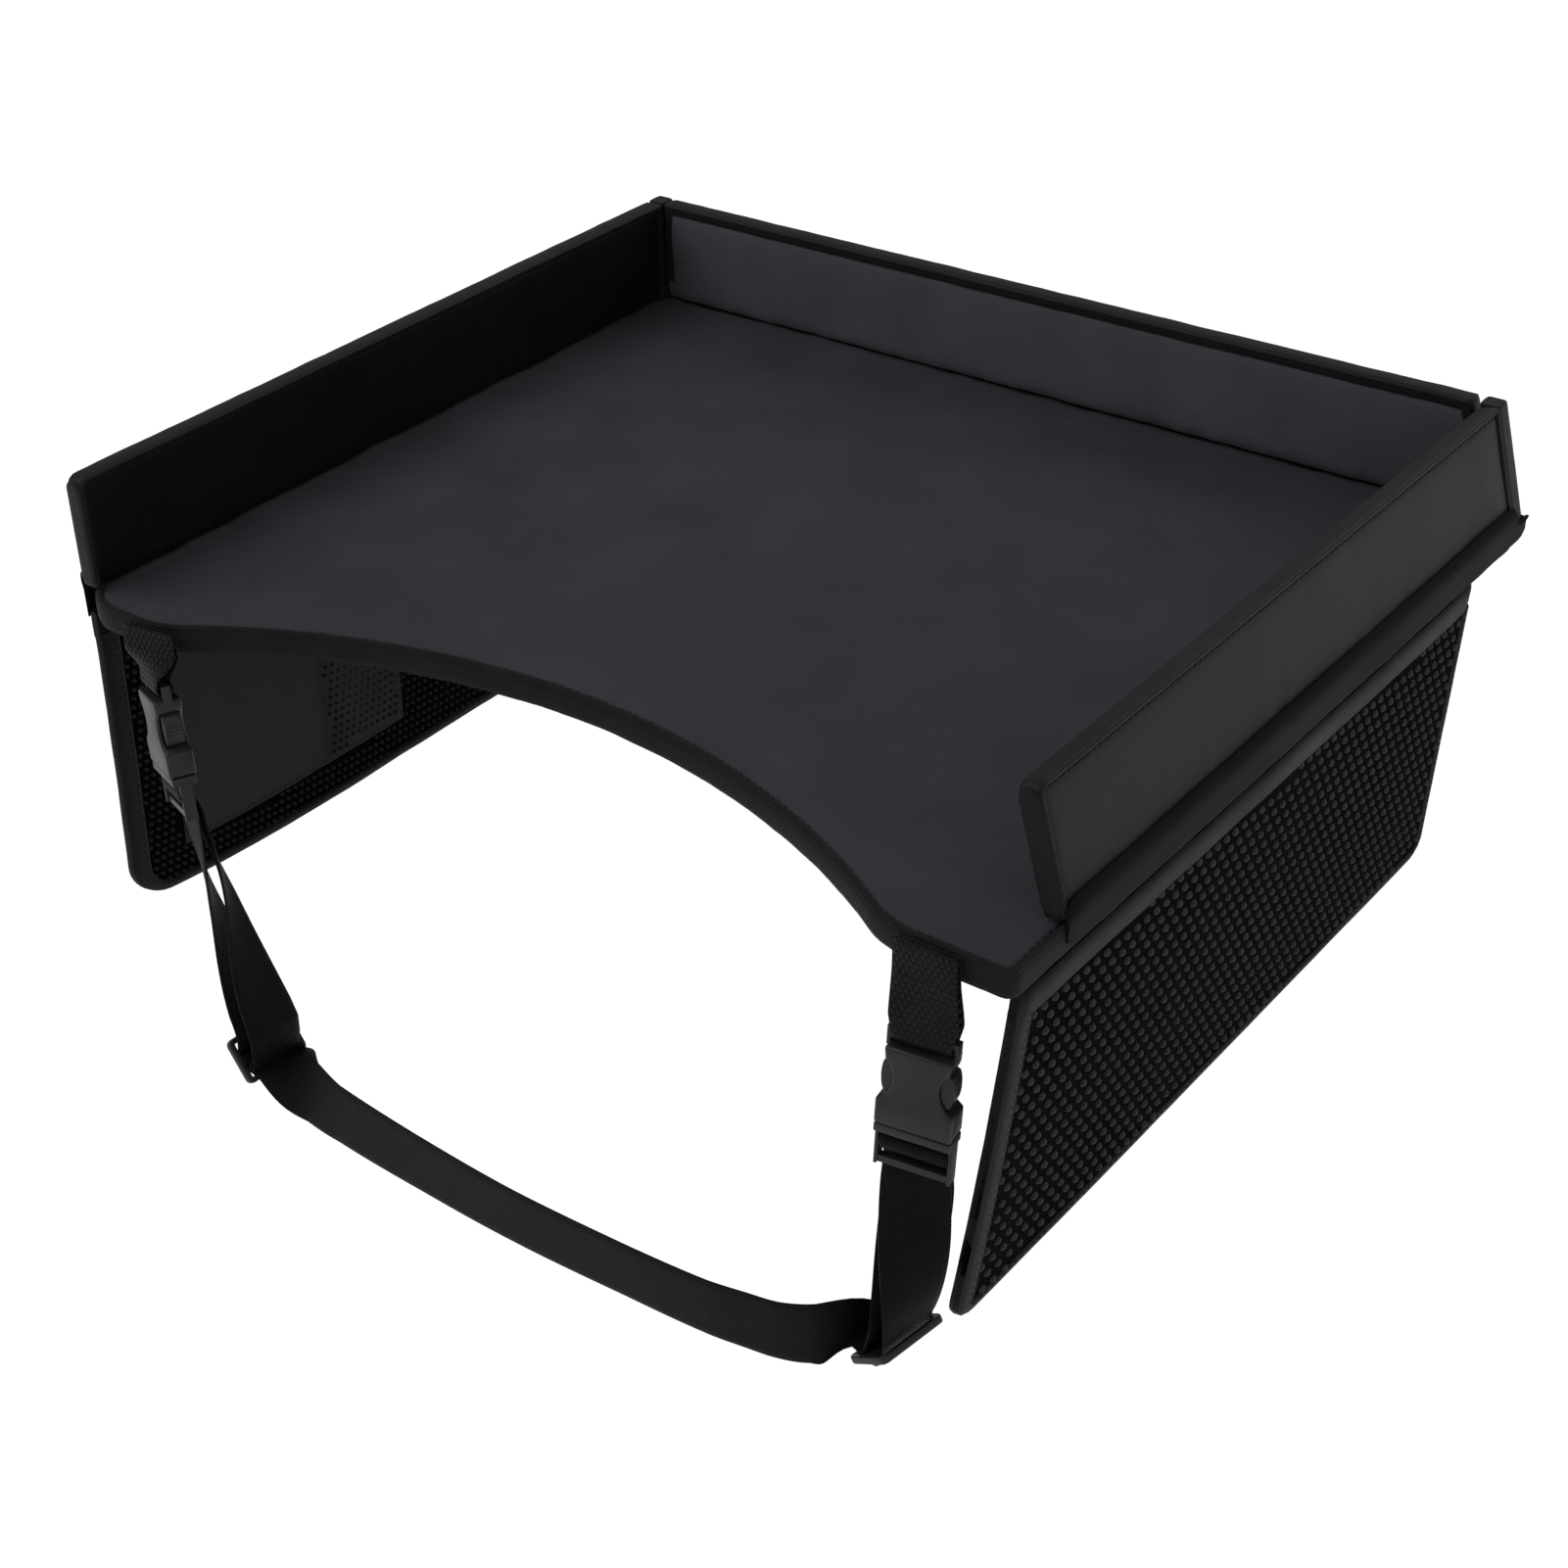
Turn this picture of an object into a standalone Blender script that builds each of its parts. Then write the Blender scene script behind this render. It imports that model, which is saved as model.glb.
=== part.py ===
"""Lap tray for a child's car seat: padded deck, fold-flat walls, mesh side panels and a buckled belt.

Tray axes: x across, y from the child's side to the far side, z up. Tray zero is the middle of the
deck's front line, on the deck's top. The whole tray hangs from one empty that stands it on the ground.
"""
import math

import bpy
import bmesh
from mathutils import Matrix, Vector

# Shared sizes, in metres
GAP = 0.0003
STITCH_GAP = 0.0004
CUT_OVERRUN = 0.004
STAND_CLEARANCE = 0.0008

# Deck
DECK_WIDTH = 0.400
DECK_DEPTH = 0.343
DECK_THICKNESS = 0.011
DECK_CORNER_RADIUS = 0.008
DECK_FRONT_CORNER = {"left": 0.022, "right": 0.004}
NOTCH_DEPTH = 0.0485
LOBE_RADIUS = 0.040
LOBE_INSET = 0.0335
DECK_COVER = 0.0010
DECK_FOAM = 0.0032
DECK_EDGE = 0.0014
DECK_RIM_MARGIN = 0.003
DECK_RIM_PRESS = 0.0002
NOTCH_STEPS = 10
LOBE_STEPS = 5
CORNER_STEPS = 4

# Walls round the deck
WALL_HEIGHT = 0.043
WALL_THICKNESS = 0.008
WALL_BINDING = 0.0035
WALL_COVER = 0.0012
WALL_ROUNDING = 0.0014
WALL_LEFT_SETBACK = 0.007
WALL_RIGHT_SETBACK = 0.028
WALL_RIGHT_LEAN = math.radians(15)
HINGE_STRIP = 0.0022
HINGE_STRIP_DROP = 0.0085
HINGE_STRIP_RISE = 0.0013
HINGE_STRIP_ROUNDING = 0.0008

# Side panels under the deck
STAND_HEIGHT = 0.146
PANEL_THICKNESS = 0.0052
PANEL_FRONT_SETBACK = {"left": 0.0070, "right": 0.0055}
PANEL_TOP_LENGTH = 0.300
PANEL_BOTTOM_LENGTH = 0.325
PANEL_FRONT_BINDING = 0.0078
PANEL_BINDING = 0.0045
PANEL_TOP_BAND = 0.0090
PANEL_CORNER_RADIUS = {"left": 0.018, "right": 0.009}
PANEL_MESH = 0.0009
PANEL_LINING = 0.0008
PANEL_POCKET = 0.0008
PANEL_POCKET_START = 0.026
PANEL_POCKET_LENGTH = 0.122
PANEL_POCKET_RAISE = 0.014
PANEL_LEFT_FLARE = math.radians(1.3)
PANEL_RIGHT_TUCK = math.radians(7)

# Webbing
WEB_WIDTH = 0.0222
WEB_THICKNESS = 0.0013
BELT_REACH = 0.050
TAB_PINCH = 0.0192
TAB_HINGE_DROP = 0.0010
TAB_FAN = 0.006
TAB_STRAIGHT_SHARE = 0.7
TAB_TURNED_SHARE = 0.88
TAB_SETTLE_SHARE = 0.6
STRAP_OPENING = {"left": 0.0018, "right": 0.0022}
STRAP_LAP = {"left": 0.0050, "right": 0.0036}
OPENING_SHARE = 6.75
STRAP_LEAN_SHARE = {"left": 5.0, "right": 0.0}
TWIST_POWER = {"left": 1.3, "right": 1.0}
WRAP_STEPS = 6

# Buckle: the zero of its own axes is the middle of the two thumb scoops
BUCKLE_HALF_WIDTH = 0.0124
BUCKLE_THICKNESS = 0.0100
BUCKLE_ROUNDING = 0.0010
BUCKLE_WALL = 0.0013
WAIST_HALF_WIDTH = 0.0074
SCOOP_RADIUS = 0.0095
SCOOP_STEPS = 6
HEAD_HALF_WIDTH = 0.0113
HEAD_TOP = 0.0110
HEAD_SHOULDER = 0.0067
LOOP_TOP = 0.0165
LOOP_SLOT_BOTTOM = 0.0110
LOOP_BAR = 0.0023
LOOP_THICKNESS = 0.0032
LOOP_SLOT_HALF_WIDTH = 0.0101
MOUTH = 0.0175
CAVITY_HALF_WIDTH = 0.0100
CAVITY_NARROW = 0.0010
CAVITY_STEP = 0.0058
CAVITY_TOP = 0.0096
ARM_CLEARANCE = 0.0004
ARM_WIDTH = 0.0026
ARM_INSIDE = 0.0056
ARM_TIP = 0.0085
ARM_SHOULDER = 0.0091
ARM_NECK = 0.0082
BUTTON_HALF_HEIGHT = 0.0056
BUTTON_REACH = 0.0116
TONGUE_HALF_WIDTH = 0.0020
TONGUE_THICKNESS = 0.0032
TONGUE_TOP = 0.0060
COLLAR_HEIGHT = 0.0032
LADDER_BOTTOM = 0.0345
LADDER_THICKNESS = 0.0046
LADDER_POST = 0.0010
LADDER_BAR = 0.0020
LADDER_BAR_THICKNESS = 0.0024
LADDER_FOOT = 0.0025
LADDER_FOOT_THICKNESS = 0.0026
LADDER_BAR_SHARE = 0.56
SLIDER_SLOT = 0.0052
SLIDER_BAR = 0.0030
SLIDER_RAIL = 0.0020
SLIDER_POST = 0.0022
SLIDER_THICKNESS = 0.0026
SLIDER_RUN = 0.0080

# Where the two ends of the belt hang, for the left and the right side
TAB_INSET = {"left": 0.0430, "right": 0.0280}
TAB_DROP = {"left": 0.0200, "right": 0.0310}
BUCKLE_YAW = {"left": math.radians(-24), "right": math.radians(11)}
# Lean of each tab and buckle, as shares of its fall: across and towards the child
TAB_LEAN_SHARES = {"left": (0.08, -0.10), "right": (0.02, -0.04)}
BUCKLE_LEAN_SHARES = {"left": (0.157, -0.083), "right": (-0.03, -0.058)}
# Slider middles, as shares of half the deck's width, the belt's reach and the stand height
SLIDER_PLACE_SHARES = {"left": (-0.434, -0.68, -0.9125), "right": (0.8755, -0.40, -0.944)}
SLIDER_YAW = {"left": math.radians(-92), "right": math.radians(82)}
# Run of the webbing across each slider, before it is squared to the slider's length
SLIDER_RUN_SHARES = {"left": (0.57, 0.0, -0.82), "right": (-0.84, 0.0, -0.54)}
# The belt between the sliders, right to left: shares of half the width and of the belt's reach,
# then the direction of its top edge
BELT_SHARES = [
    ((0.776, -0.73), (0.0, 0.14, 0.99)),
    ((0.730, -0.83), (0.0, 0.06, 1.0)),
    ((0.674, -0.88), (0.0, 0.04, 1.0)),
    ((0.603, -0.93), (0.0, 0.01, 1.0)),
    ((0.450, -0.97), (0.0, -0.01, 1.0)),
    ((0.220, -1.00), (0.0, 0.02, 1.0)),
    ((0.000, -0.97), (0.0, 0.08, 1.0)),
    ((-0.198, -0.91), (0.0, 0.17, 0.985)),
    ((-0.280, -0.84), (0.0, 0.36, 0.93)),
]
BELT_STEPS = 4
STRAP_STEPS = 9
WEB_COLUMNS = 4

# Sizes that follow from the ones above
HALF_WIDTH = DECK_WIDTH / 2
WALL_LINE = HALF_WIDTH - WALL_THICKNESS
WALL_BACK = DECK_DEPTH - WALL_THICKNESS
BACK_ROOT = WALL_THICKNESS + GAP
SIDES = {"left": 1, "right": -1}
# The notch's arc is the one of its depth that runs smoothly into both lobes
LOBE_CENTRE_X = HALF_WIDTH - LOBE_INSET
NOTCH_RADIUS = (LOBE_CENTRE_X ** 2 + NOTCH_DEPTH ** 2) / (2 * NOTCH_DEPTH) - LOBE_RADIUS
NOTCH_CENTRE_Y = NOTCH_DEPTH - NOTCH_RADIUS
STRIP_REACH = GAP + HINGE_STRIP
BELT_FRONT = BELT_REACH + WEB_THICKNESS
GROUND_OFFSET = Vector((0, (BELT_FRONT - DECK_DEPTH - STRIP_REACH) / 2, STAND_HEIGHT))
SLIDER_HALF_HEIGHT = SLIDER_BAR / 2 + SLIDER_SLOT + SLIDER_RAIL
SLIDER_HALF_WIDTH = WEB_WIDTH / 2 + STITCH_GAP + SLIDER_POST
TAB_X = {"left": TAB_INSET["left"] - HALF_WIDTH, "right": HALF_WIDTH - TAB_INSET["right"]}

# Colours are linear RGB, with roughness
FINISHES = {
    "deck_cloth": ((0.027, 0.029, 0.034), 0.75),
    "board": ((0.30, 0.30, 0.31), 0.60),
    "foam": ((0.10, 0.10, 0.11), 0.90),
    "wall_cloth": ((0.018, 0.018, 0.019), 0.70),
    "binding": ((0.016, 0.016, 0.016), 0.80),
    "mesh": ((0.012, 0.013, 0.015), 0.75),
    "webbing": ((0.012, 0.012, 0.012), 0.80),
    "buckle": ((0.035, 0.035, 0.036), 0.45),
}


def clear_scene():
    for thing in list(bpy.data.objects):
        bpy.data.objects.remove(thing, do_unlink=True)


def finish(name):
    found = bpy.data.materials.get(name)
    if found:
        return found
    colour, roughness = FINISHES[name]
    made = bpy.data.materials.new(name)
    made.use_nodes = True
    shader = made.node_tree.nodes["Principled BSDF"]
    shader.inputs["Base Color"].default_value = (*colour, 1.0)
    shader.inputs["Roughness"].default_value = roughness
    shader.inputs["Metallic"].default_value = 0.0
    made.diffuse_color = (*colour, 1.0)
    return made


def empty(name, matrix, parent):
    made = bpy.data.objects.new(name, None)
    bpy.context.scene.collection.objects.link(made)
    made.parent = parent
    made.matrix_local = matrix
    return made


def solid(name, corners, faces, parent, finish_name):
    """One closed mesh object whose faces are turned outwards."""
    mesh = bpy.data.meshes.new(name)
    form = bmesh.new()
    made = [form.verts.new(corner) for corner in corners]
    for face in faces:
        form.faces.new([made[index] for index in face])
    bmesh.ops.recalc_face_normals(form, faces=form.faces)
    form.to_mesh(mesh)
    form.free()
    if finish_name:
        mesh.materials.append(finish(finish_name))
    thing = bpy.data.objects.new(name, mesh)
    bpy.context.scene.collection.objects.link(thing)
    thing.parent = parent
    return thing


def prism(name, outline, low, high, parent, finish_name, upright=False):
    """A flat outline pushed from low to high: along z, or along y where the outline is upright."""
    def place(point, level):
        return (point[0], level, point[1]) if upright else (point[0], point[1], level)
    count = len(outline)
    corners = [place(point, low) for point in outline] + [place(point, high) for point in outline]
    faces = [list(range(count)), list(range(count, 2 * count))]
    for index in range(count):
        after = (index + 1) % count
        faces.append([index, after, after + count, index + count])
    return solid(name, corners, faces, parent, finish_name)


def block(name, low, high, parent, finish_name):
    outline = [(low[0], low[1]), (high[0], low[1]), (high[0], high[1]), (low[0], high[1])]
    return prism(name, outline, low[2], high[2], parent, finish_name)


def band(name, outer, inner, low, high, parent, finish_name, closed=True, upright=False):
    """A ring, or an open frame, between two outlines with the same number of points."""
    count = len(outer)
    corners = []
    for level in (low, high):
        for point in outer + inner:
            corners.append((point[0], level, point[1]) if upright else (point[0], point[1], level))
    groups = ((0, count), (count, 3 * count), (3 * count, 2 * count), (2 * count, 0))
    faces = []
    for index in range(count if closed else count - 1):
        after = (index + 1) % count
        for first, second in groups:
            faces.append([first + index, first + after, second + after, second + index])
    if not closed:
        faces += [[first + end for first, _ in groups] for end in (0, count - 1)]
    return solid(name, corners, faces, parent, finish_name)


def smooth(thing, angle=math.radians(35)):
    thing.data.shade_smooth()
    thing.data.set_sharp_from_angle(angle=angle)


def round_edges(thing, width, segments=2):
    modifier = thing.modifiers.new("rounding", "BEVEL")
    modifier.width = width
    modifier.segments = segments
    modifier.limit_method = "ANGLE"
    modifier.angle_limit = math.radians(40)
    return thing


def round_rim(thing, width, count):
    """Round only the outer edges of a band, whose outlines have this many points."""
    weights = thing.data.attributes.new("bevel_weight_edge", "FLOAT", "EDGE")
    for edge in thing.data.edges:
        first, second = edge.vertices
        outside = first % (2 * count) < count and second % (2 * count) < count
        same_face = first // (2 * count) == second // (2 * count)
        weights.data[edge.index].value = 1.0 if outside and same_face else 0.0
    round_edges(thing, width)
    thing.modifiers["rounding"].limit_method = "WEIGHT"


def combine(thing, tools, operation):
    for tool in tools:
        modifier = thing.modifiers.new(tool.name, "BOOLEAN")
        modifier.operation = operation
        modifier.solver = "EXACT"
        modifier.object = tool
        tool.hide_render = True
        tool.display_type = "WIRE"
    return thing


def arc(centre, radius, start, end, steps):
    """Points of an arc in degrees, both ends included."""
    angles = [math.radians(start + (end - start) * step / steps) for step in range(steps + 1)]
    return [(centre[0] + radius * math.cos(a), centre[1] + radius * math.sin(a)) for a in angles]


def deck_outline(inset):
    """The deck seen from above, drawn in from its true edge by the inset."""
    meet = math.degrees(math.atan2(LOBE_RADIUS - NOTCH_CENTRE_Y, LOBE_CENTRE_X))

    def half(front):
        points = arc((0.0, NOTCH_CENTRE_Y), NOTCH_RADIUS + inset, 90, meet, NOTCH_STEPS)
        points += arc((LOBE_CENTRE_X, LOBE_RADIUS), LOBE_RADIUS - inset, meet + 180, 270, LOBE_STEPS)[1:]
        points += arc((HALF_WIDTH - front, front), front - inset, 270, 360, CORNER_STEPS)
        far = DECK_CORNER_RADIUS
        return points + arc((HALF_WIDTH - far, DECK_DEPTH - far), far - inset, 0, 90, CORNER_STEPS)
    left = [(-x, y) for x, y in reversed(half(DECK_FRONT_CORNER["left"])[1:])]
    return half(DECK_FRONT_CORNER["right"]) + left


def press_rim(cover, low, high, tray):
    """Thins a deck cover along its sides and far edge, where the walls and side panels press on it."""
    side = WALL_LINE - DECK_RIM_MARGIN
    back = WALL_BACK - DECK_RIM_MARGIN
    reach = HALF_WIDTH + CUT_OVERRUN
    front = -CUT_OVERRUN
    far = DECK_DEPTH + CUT_OVERRUN
    inner = [(-side, front), (-side, back), (side, back), (side, front)]
    outer = [(reach, front), (reach, far), (-reach, far), (-reach, front)]
    rim = prism(f"cut_{cover.name}_rim", inner + outer, low, high, tray, None)
    combine(cover, [rim], "DIFFERENCE")


def build_deck(tray):
    bottom = -DECK_THICKNESS
    inside = deck_outline(DECK_EDGE + GAP)
    foam_top = -DECK_COVER - GAP
    board_top = foam_top - DECK_FOAM - GAP
    board_bottom = bottom + DECK_COVER + GAP
    top = prism("deck_top_cover", inside, -DECK_COVER, 0.0, tray, "deck_cloth")
    prism("deck_foam_pad", inside, foam_top - DECK_FOAM, foam_top, tray, "foam")
    prism("deck_board", inside, board_bottom, board_top, tray, "board")
    under = prism("deck_bottom_cover", inside, bottom, bottom + DECK_COVER, tray, "wall_cloth")
    press_rim(top, -DECK_RIM_PRESS, CUT_OVERRUN, tray)
    press_rim(under, bottom - CUT_OVERRUN, bottom + DECK_RIM_PRESS, tray)
    band("deck_edge_binding", deck_outline(0.0), deck_outline(DECK_EDGE), bottom, 0.0, tray, "binding")


def wall_side(height, end, lean):
    """Where a wall's far end lies at a height, for an end that leans with its neighbour."""
    return end - math.copysign(height * math.tan(lean), end)


def wall_outline(inset, low, end, lean):
    sign = math.copysign(1, end)
    top = WALL_HEIGHT - GAP - inset
    return [
        (sign * inset, low),
        (wall_side(low, end, lean) - sign * inset, low),
        (wall_side(top, end, lean) - sign * inset, top),
        (sign * inset, top),
    ]


def up_and_over(outline):
    """The four corners of a wall, from the foot of one end over the top to the foot of the other."""
    return outline[:1] + outline[:0:-1]


def build_wall(name, tray, start, turn, lean, end, end_lean, low):
    """A wall on its hinge: x along the hinge, y outwards, z up; zero is the hinge at its start."""
    place = Matrix.Translation(start) @ Matrix.Rotation(turn, 4, "Z") @ Matrix.Rotation(lean, 4, "X")
    hinge = empty(f"wall_{name}_hinge", place, tray)
    outer = wall_outline(0.0, low, end, end_lean)
    inner = wall_outline(WALL_BINDING, low, end, end_lean)
    lines = (up_and_over(outer), up_and_over(inner))
    binding = band(f"wall_{name}_binding", *lines, 0.0, WALL_THICKNESS, hinge, "binding", False, True)
    round_rim(binding, WALL_ROUNDING, len(outer))
    field = wall_outline(WALL_BINDING + GAP, low, end, end_lean)
    board_low = WALL_COVER + GAP
    board_high = WALL_THICKNESS - WALL_COVER - GAP
    prism(f"wall_{name}_inner_cover", field, 0.0, WALL_COVER, hinge, "wall_cloth", upright=True)
    prism(f"wall_{name}_board", field, board_low, board_high, hinge, "board", upright=True)
    outer_low = WALL_THICKNESS - WALL_COVER
    prism(f"wall_{name}_outer_cover", field, outer_low, WALL_THICKNESS, hinge, "wall_cloth", upright=True)
    return hinge


def build_hinge_strip(name, low, high, tray):
    strip = block(f"wall_{name}_hinge_strip", low, high, tray, "binding")
    round_edges(strip, HINGE_STRIP_ROUNDING)


def build_walls(tray):
    side_end = WALL_BACK - GAP
    for name, sign in SIDES.items():
        setback = WALL_LEFT_SETBACK if name == "left" else WALL_RIGHT_SETBACK
        lean = 0.0 if name == "left" else WALL_RIGHT_LEAN
        start = Vector((-sign * WALL_LINE, setback, GAP))
        build_wall(name, tray, start, sign * math.pi / 2, lean, sign * (side_end - setback), 0.0, 0.0)
        edges = sorted((-sign * (HALF_WIDTH + GAP), -sign * (HALF_WIDTH + STRIP_REACH)))
        low = (edges[0], setback, -HINGE_STRIP_DROP)
        high = (edges[1], DECK_DEPTH + STRIP_REACH, HINGE_STRIP_RISE)
        build_hinge_strip(name, low, high, tray)

    back_start = Vector((-WALL_LINE + GAP, WALL_BACK, GAP))
    span = 2 * (WALL_LINE - GAP)
    root = [
        (0.0, 0.0),
        (span, 0.0),
        (wall_side(BACK_ROOT - GAP, span, WALL_RIGHT_LEAN), BACK_ROOT - GAP),
        (0.0, BACK_ROOT - GAP),
    ]
    foot = empty("wall_back_foot", Matrix.Translation(back_start), tray)
    prism("wall_back_root", root, 0.0, WALL_THICKNESS, foot, "wall_cloth", upright=True)
    raised = back_start + Vector((0.0, 0.0, BACK_ROOT))
    end = wall_side(BACK_ROOT + WALL_THICKNESS, span, WALL_RIGHT_LEAN)
    place = Matrix.Translation(raised)
    build_back_wall(place, tray, end)
    low = (-HALF_WIDTH, DECK_DEPTH + GAP, -HINGE_STRIP_DROP)
    high = (HALF_WIDTH, DECK_DEPTH + STRIP_REACH, HINGE_STRIP_RISE)
    build_hinge_strip("back", low, high, tray)


def build_back_wall(place, tray, end):
    """The far wall hinges above its root, so that it folds down over the folded side walls."""
    hinge = empty("wall_back_hinge", place, tray)
    height = WALL_HEIGHT - GAP - BACK_ROOT

    def outline(inset):
        top = height - inset
        return [
            (inset, 0.0),
            (end - inset, 0.0),
            (wall_side(top, end, WALL_RIGHT_LEAN) - inset, top),
            (inset, top),
        ]
    outer = outline(0.0)
    inner = outline(WALL_BINDING)
    lines = (up_and_over(outer), up_and_over(inner))
    binding = band("wall_back_binding", *lines, 0.0, WALL_THICKNESS, hinge, "binding", False, True)
    round_rim(binding, WALL_ROUNDING, len(outer))
    field = outline(WALL_BINDING + GAP)
    layers = {
        "wall_back_inner_cover": (0.0, WALL_COVER, "wall_cloth"),
        "wall_back_board": (WALL_COVER + GAP, WALL_THICKNESS - WALL_COVER - GAP, "board"),
        "wall_back_outer_cover": (WALL_THICKNESS - WALL_COVER, WALL_THICKNESS, "wall_cloth"),
    }
    for name, (low, high, finish_name) in layers.items():
        prism(name, field, low, high, hinge, finish_name, upright=True)


def build_corner_gussets(tray):
    """Soft columns that close the two far corners between the walls."""
    low = WALL_BACK + GAP
    top = WALL_HEIGHT
    for name, lean in (("left", 0.0), ("right", WALL_RIGHT_LEAN)):
        sign = -SIDES[name]
        shift = top * math.tan(lean)
        outline = [
            (sign * (WALL_LINE + GAP), GAP),
            (sign * HALF_WIDTH, GAP),
            (sign * (HALF_WIDTH - shift), top),
            (sign * (WALL_LINE + GAP - shift), top),
        ]
        prism(f"corner_gusset_{name}", outline, low, DECK_DEPTH, tray, "wall_cloth", upright=True)


def panel_outline(sides, sign, rounding):
    """Panel seen from inside, as (distance back, height) points: front, back, bottom and top insets."""
    front, back, bottom, top = sides
    height = STAND_HEIGHT - DECK_THICKNESS - GAP

    def back_edge(level):
        slope = (PANEL_BOTTOM_LENGTH - PANEL_TOP_LENGTH) / height
        return PANEL_TOP_LENGTH - level * slope - back
    low = -height + bottom
    points = [(front, -top)]
    if rounding:
        points += arc((front + rounding, low + rounding), rounding, 180, 270, CORNER_STEPS)
        corner = (back_edge(low + rounding) - rounding, low + rounding)
        points += arc(corner, rounding, 270, 360, CORNER_STEPS)
    else:
        points += [(front, low), (back_edge(low), low)]
    points.append((back_edge(-top), -top))
    return [(sign * x, z) for x, z in points]


def build_panel(name, tray):
    sign = SIDES[name]
    tilt = PANEL_LEFT_FLARE if name == "left" else -PANEL_RIGHT_TUCK
    inner_face = -sign * (HALF_WIDTH - PANEL_THICKNESS)
    start = Vector((inner_face, PANEL_FRONT_SETBACK[name], -DECK_THICKNESS - GAP))
    turn = Matrix.Rotation(sign * math.pi / 2, 4, "Z") @ Matrix.Rotation(tilt, 4, "X")
    hinge = empty(f"panel_{name}_hinge", Matrix.Translation(start) @ turn, tray)

    band_low = PANEL_TOP_BAND
    radius = PANEL_CORNER_RADIUS[name]
    outer = panel_outline((0.0, 0.0, 0.0, band_low + GAP), sign, radius)
    insets = (PANEL_FRONT_BINDING, PANEL_BINDING, PANEL_BINDING, band_low + GAP)
    inner_radius = radius - PANEL_BINDING
    inner = panel_outline(insets, sign, inner_radius)
    binding = band(f"panel_{name}_binding", outer, inner, 0.0, PANEL_THICKNESS, hinge, "binding", False, True)
    round_rim(binding, WALL_ROUNDING, len(outer))

    top_inset = STAND_HEIGHT - DECK_THICKNESS - GAP - band_low
    top_band = panel_outline((0.0, 0.0, top_inset, 0.0), sign, 0.0)
    prism(f"panel_{name}_top_band", top_band, 0.0, PANEL_THICKNESS, hinge, "binding", upright=True)

    field_insets = tuple(inset + GAP for inset in insets)
    field = panel_outline(field_insets, sign, inner_radius - GAP)
    lining_low = PANEL_POCKET + GAP
    board_low = lining_low + PANEL_LINING + GAP
    mesh_low = PANEL_THICKNESS - PANEL_MESH
    layers = {
        f"panel_{name}_inner_mesh": (lining_low, lining_low + PANEL_LINING, "mesh"),
        f"panel_{name}_board": (board_low, mesh_low - GAP, "board"),
        f"panel_{name}_outer_mesh": (mesh_low, PANEL_THICKNESS, "mesh"),
    }
    for layer, (low, high, finish_name) in layers.items():
        prism(layer, field, low, high, hinge, finish_name, upright=True)

    pocket_low = -(STAND_HEIGHT - DECK_THICKNESS) + PANEL_BINDING + PANEL_POCKET_RAISE
    pocket_high = -PANEL_TOP_BAND - 2 * GAP
    ends = (sign * PANEL_POCKET_START, sign * (PANEL_POCKET_START + PANEL_POCKET_LENGTH))
    pocket = [(ends[0], pocket_low), (ends[1], pocket_low), (ends[1], pocket_high), (ends[0], pocket_high)]
    prism(f"panel_{name}_document_pocket", pocket, 0.0, PANEL_POCKET, hinge, "wall_cloth", upright=True)


def axes(origin, across, down):
    """A frame whose x runs along the webbing's width and whose z points back up the webbing."""
    up = -down.normalized()
    across = (across - up * across.dot(up)).normalized()
    out = up.cross(across)
    return Matrix.Translation(origin) @ Matrix((across, out, up)).transposed().to_4x4()


def yawed(angle):
    return Vector((math.cos(angle), math.sin(angle), 0.0))


def front_line(x):
    """Place of the deck's front edge on a lobe or on the straight beside it, and its yaw."""
    off = max(0.0, LOBE_CENTRE_X - abs(x))
    lobe = LOBE_RADIUS - math.sqrt(LOBE_RADIUS ** 2 - off ** 2)
    return lobe, math.copysign(math.asin(off / LOBE_RADIUS), -x)


def tab_hinge(side):
    """Middle of the tab where it leaves the deck's edge, between its two layers."""
    edge, yaw = front_line(TAB_X[side])
    out = GAP + WEB_THICKNESS + STITCH_GAP / 2
    return Vector((TAB_X[side] + out * math.sin(yaw), edge - out * math.cos(yaw), -TAB_HINGE_DROP))


def buckle_axes(side):
    """The buckle's frame, hung so that its webbing bar lies at the foot of the tab."""
    lean = TAB_LEAN_SHARES[side]
    bar = tab_hinge(side) + Vector((lean[0], lean[1], -1.0)) * TAB_DROP[side]
    tilt = BUCKLE_LEAN_SHARES[side]
    down = Vector((tilt[0], tilt[1], -1.0)).normalized()
    return axes(bar + down * (LOOP_TOP - LOOP_BAR / 2), yawed(BUCKLE_YAW[side]), down)


def slider_axes(side):
    """The slider's frame: x along it, z against the run of the webbing, y to the outside of the bend."""
    share = SLIDER_PLACE_SHARES[side]
    place = Vector((share[0] * HALF_WIDTH, share[1] * BELT_REACH, share[2] * STAND_HEIGHT))
    across = yawed(SLIDER_YAW[side])
    run = Vector(SLIDER_RUN_SHARES[side])
    return axes(place, across, run - across * run.dot(across))


def mirrored(points):
    return points + [(-x, z) for x, z in reversed(points)]


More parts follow.
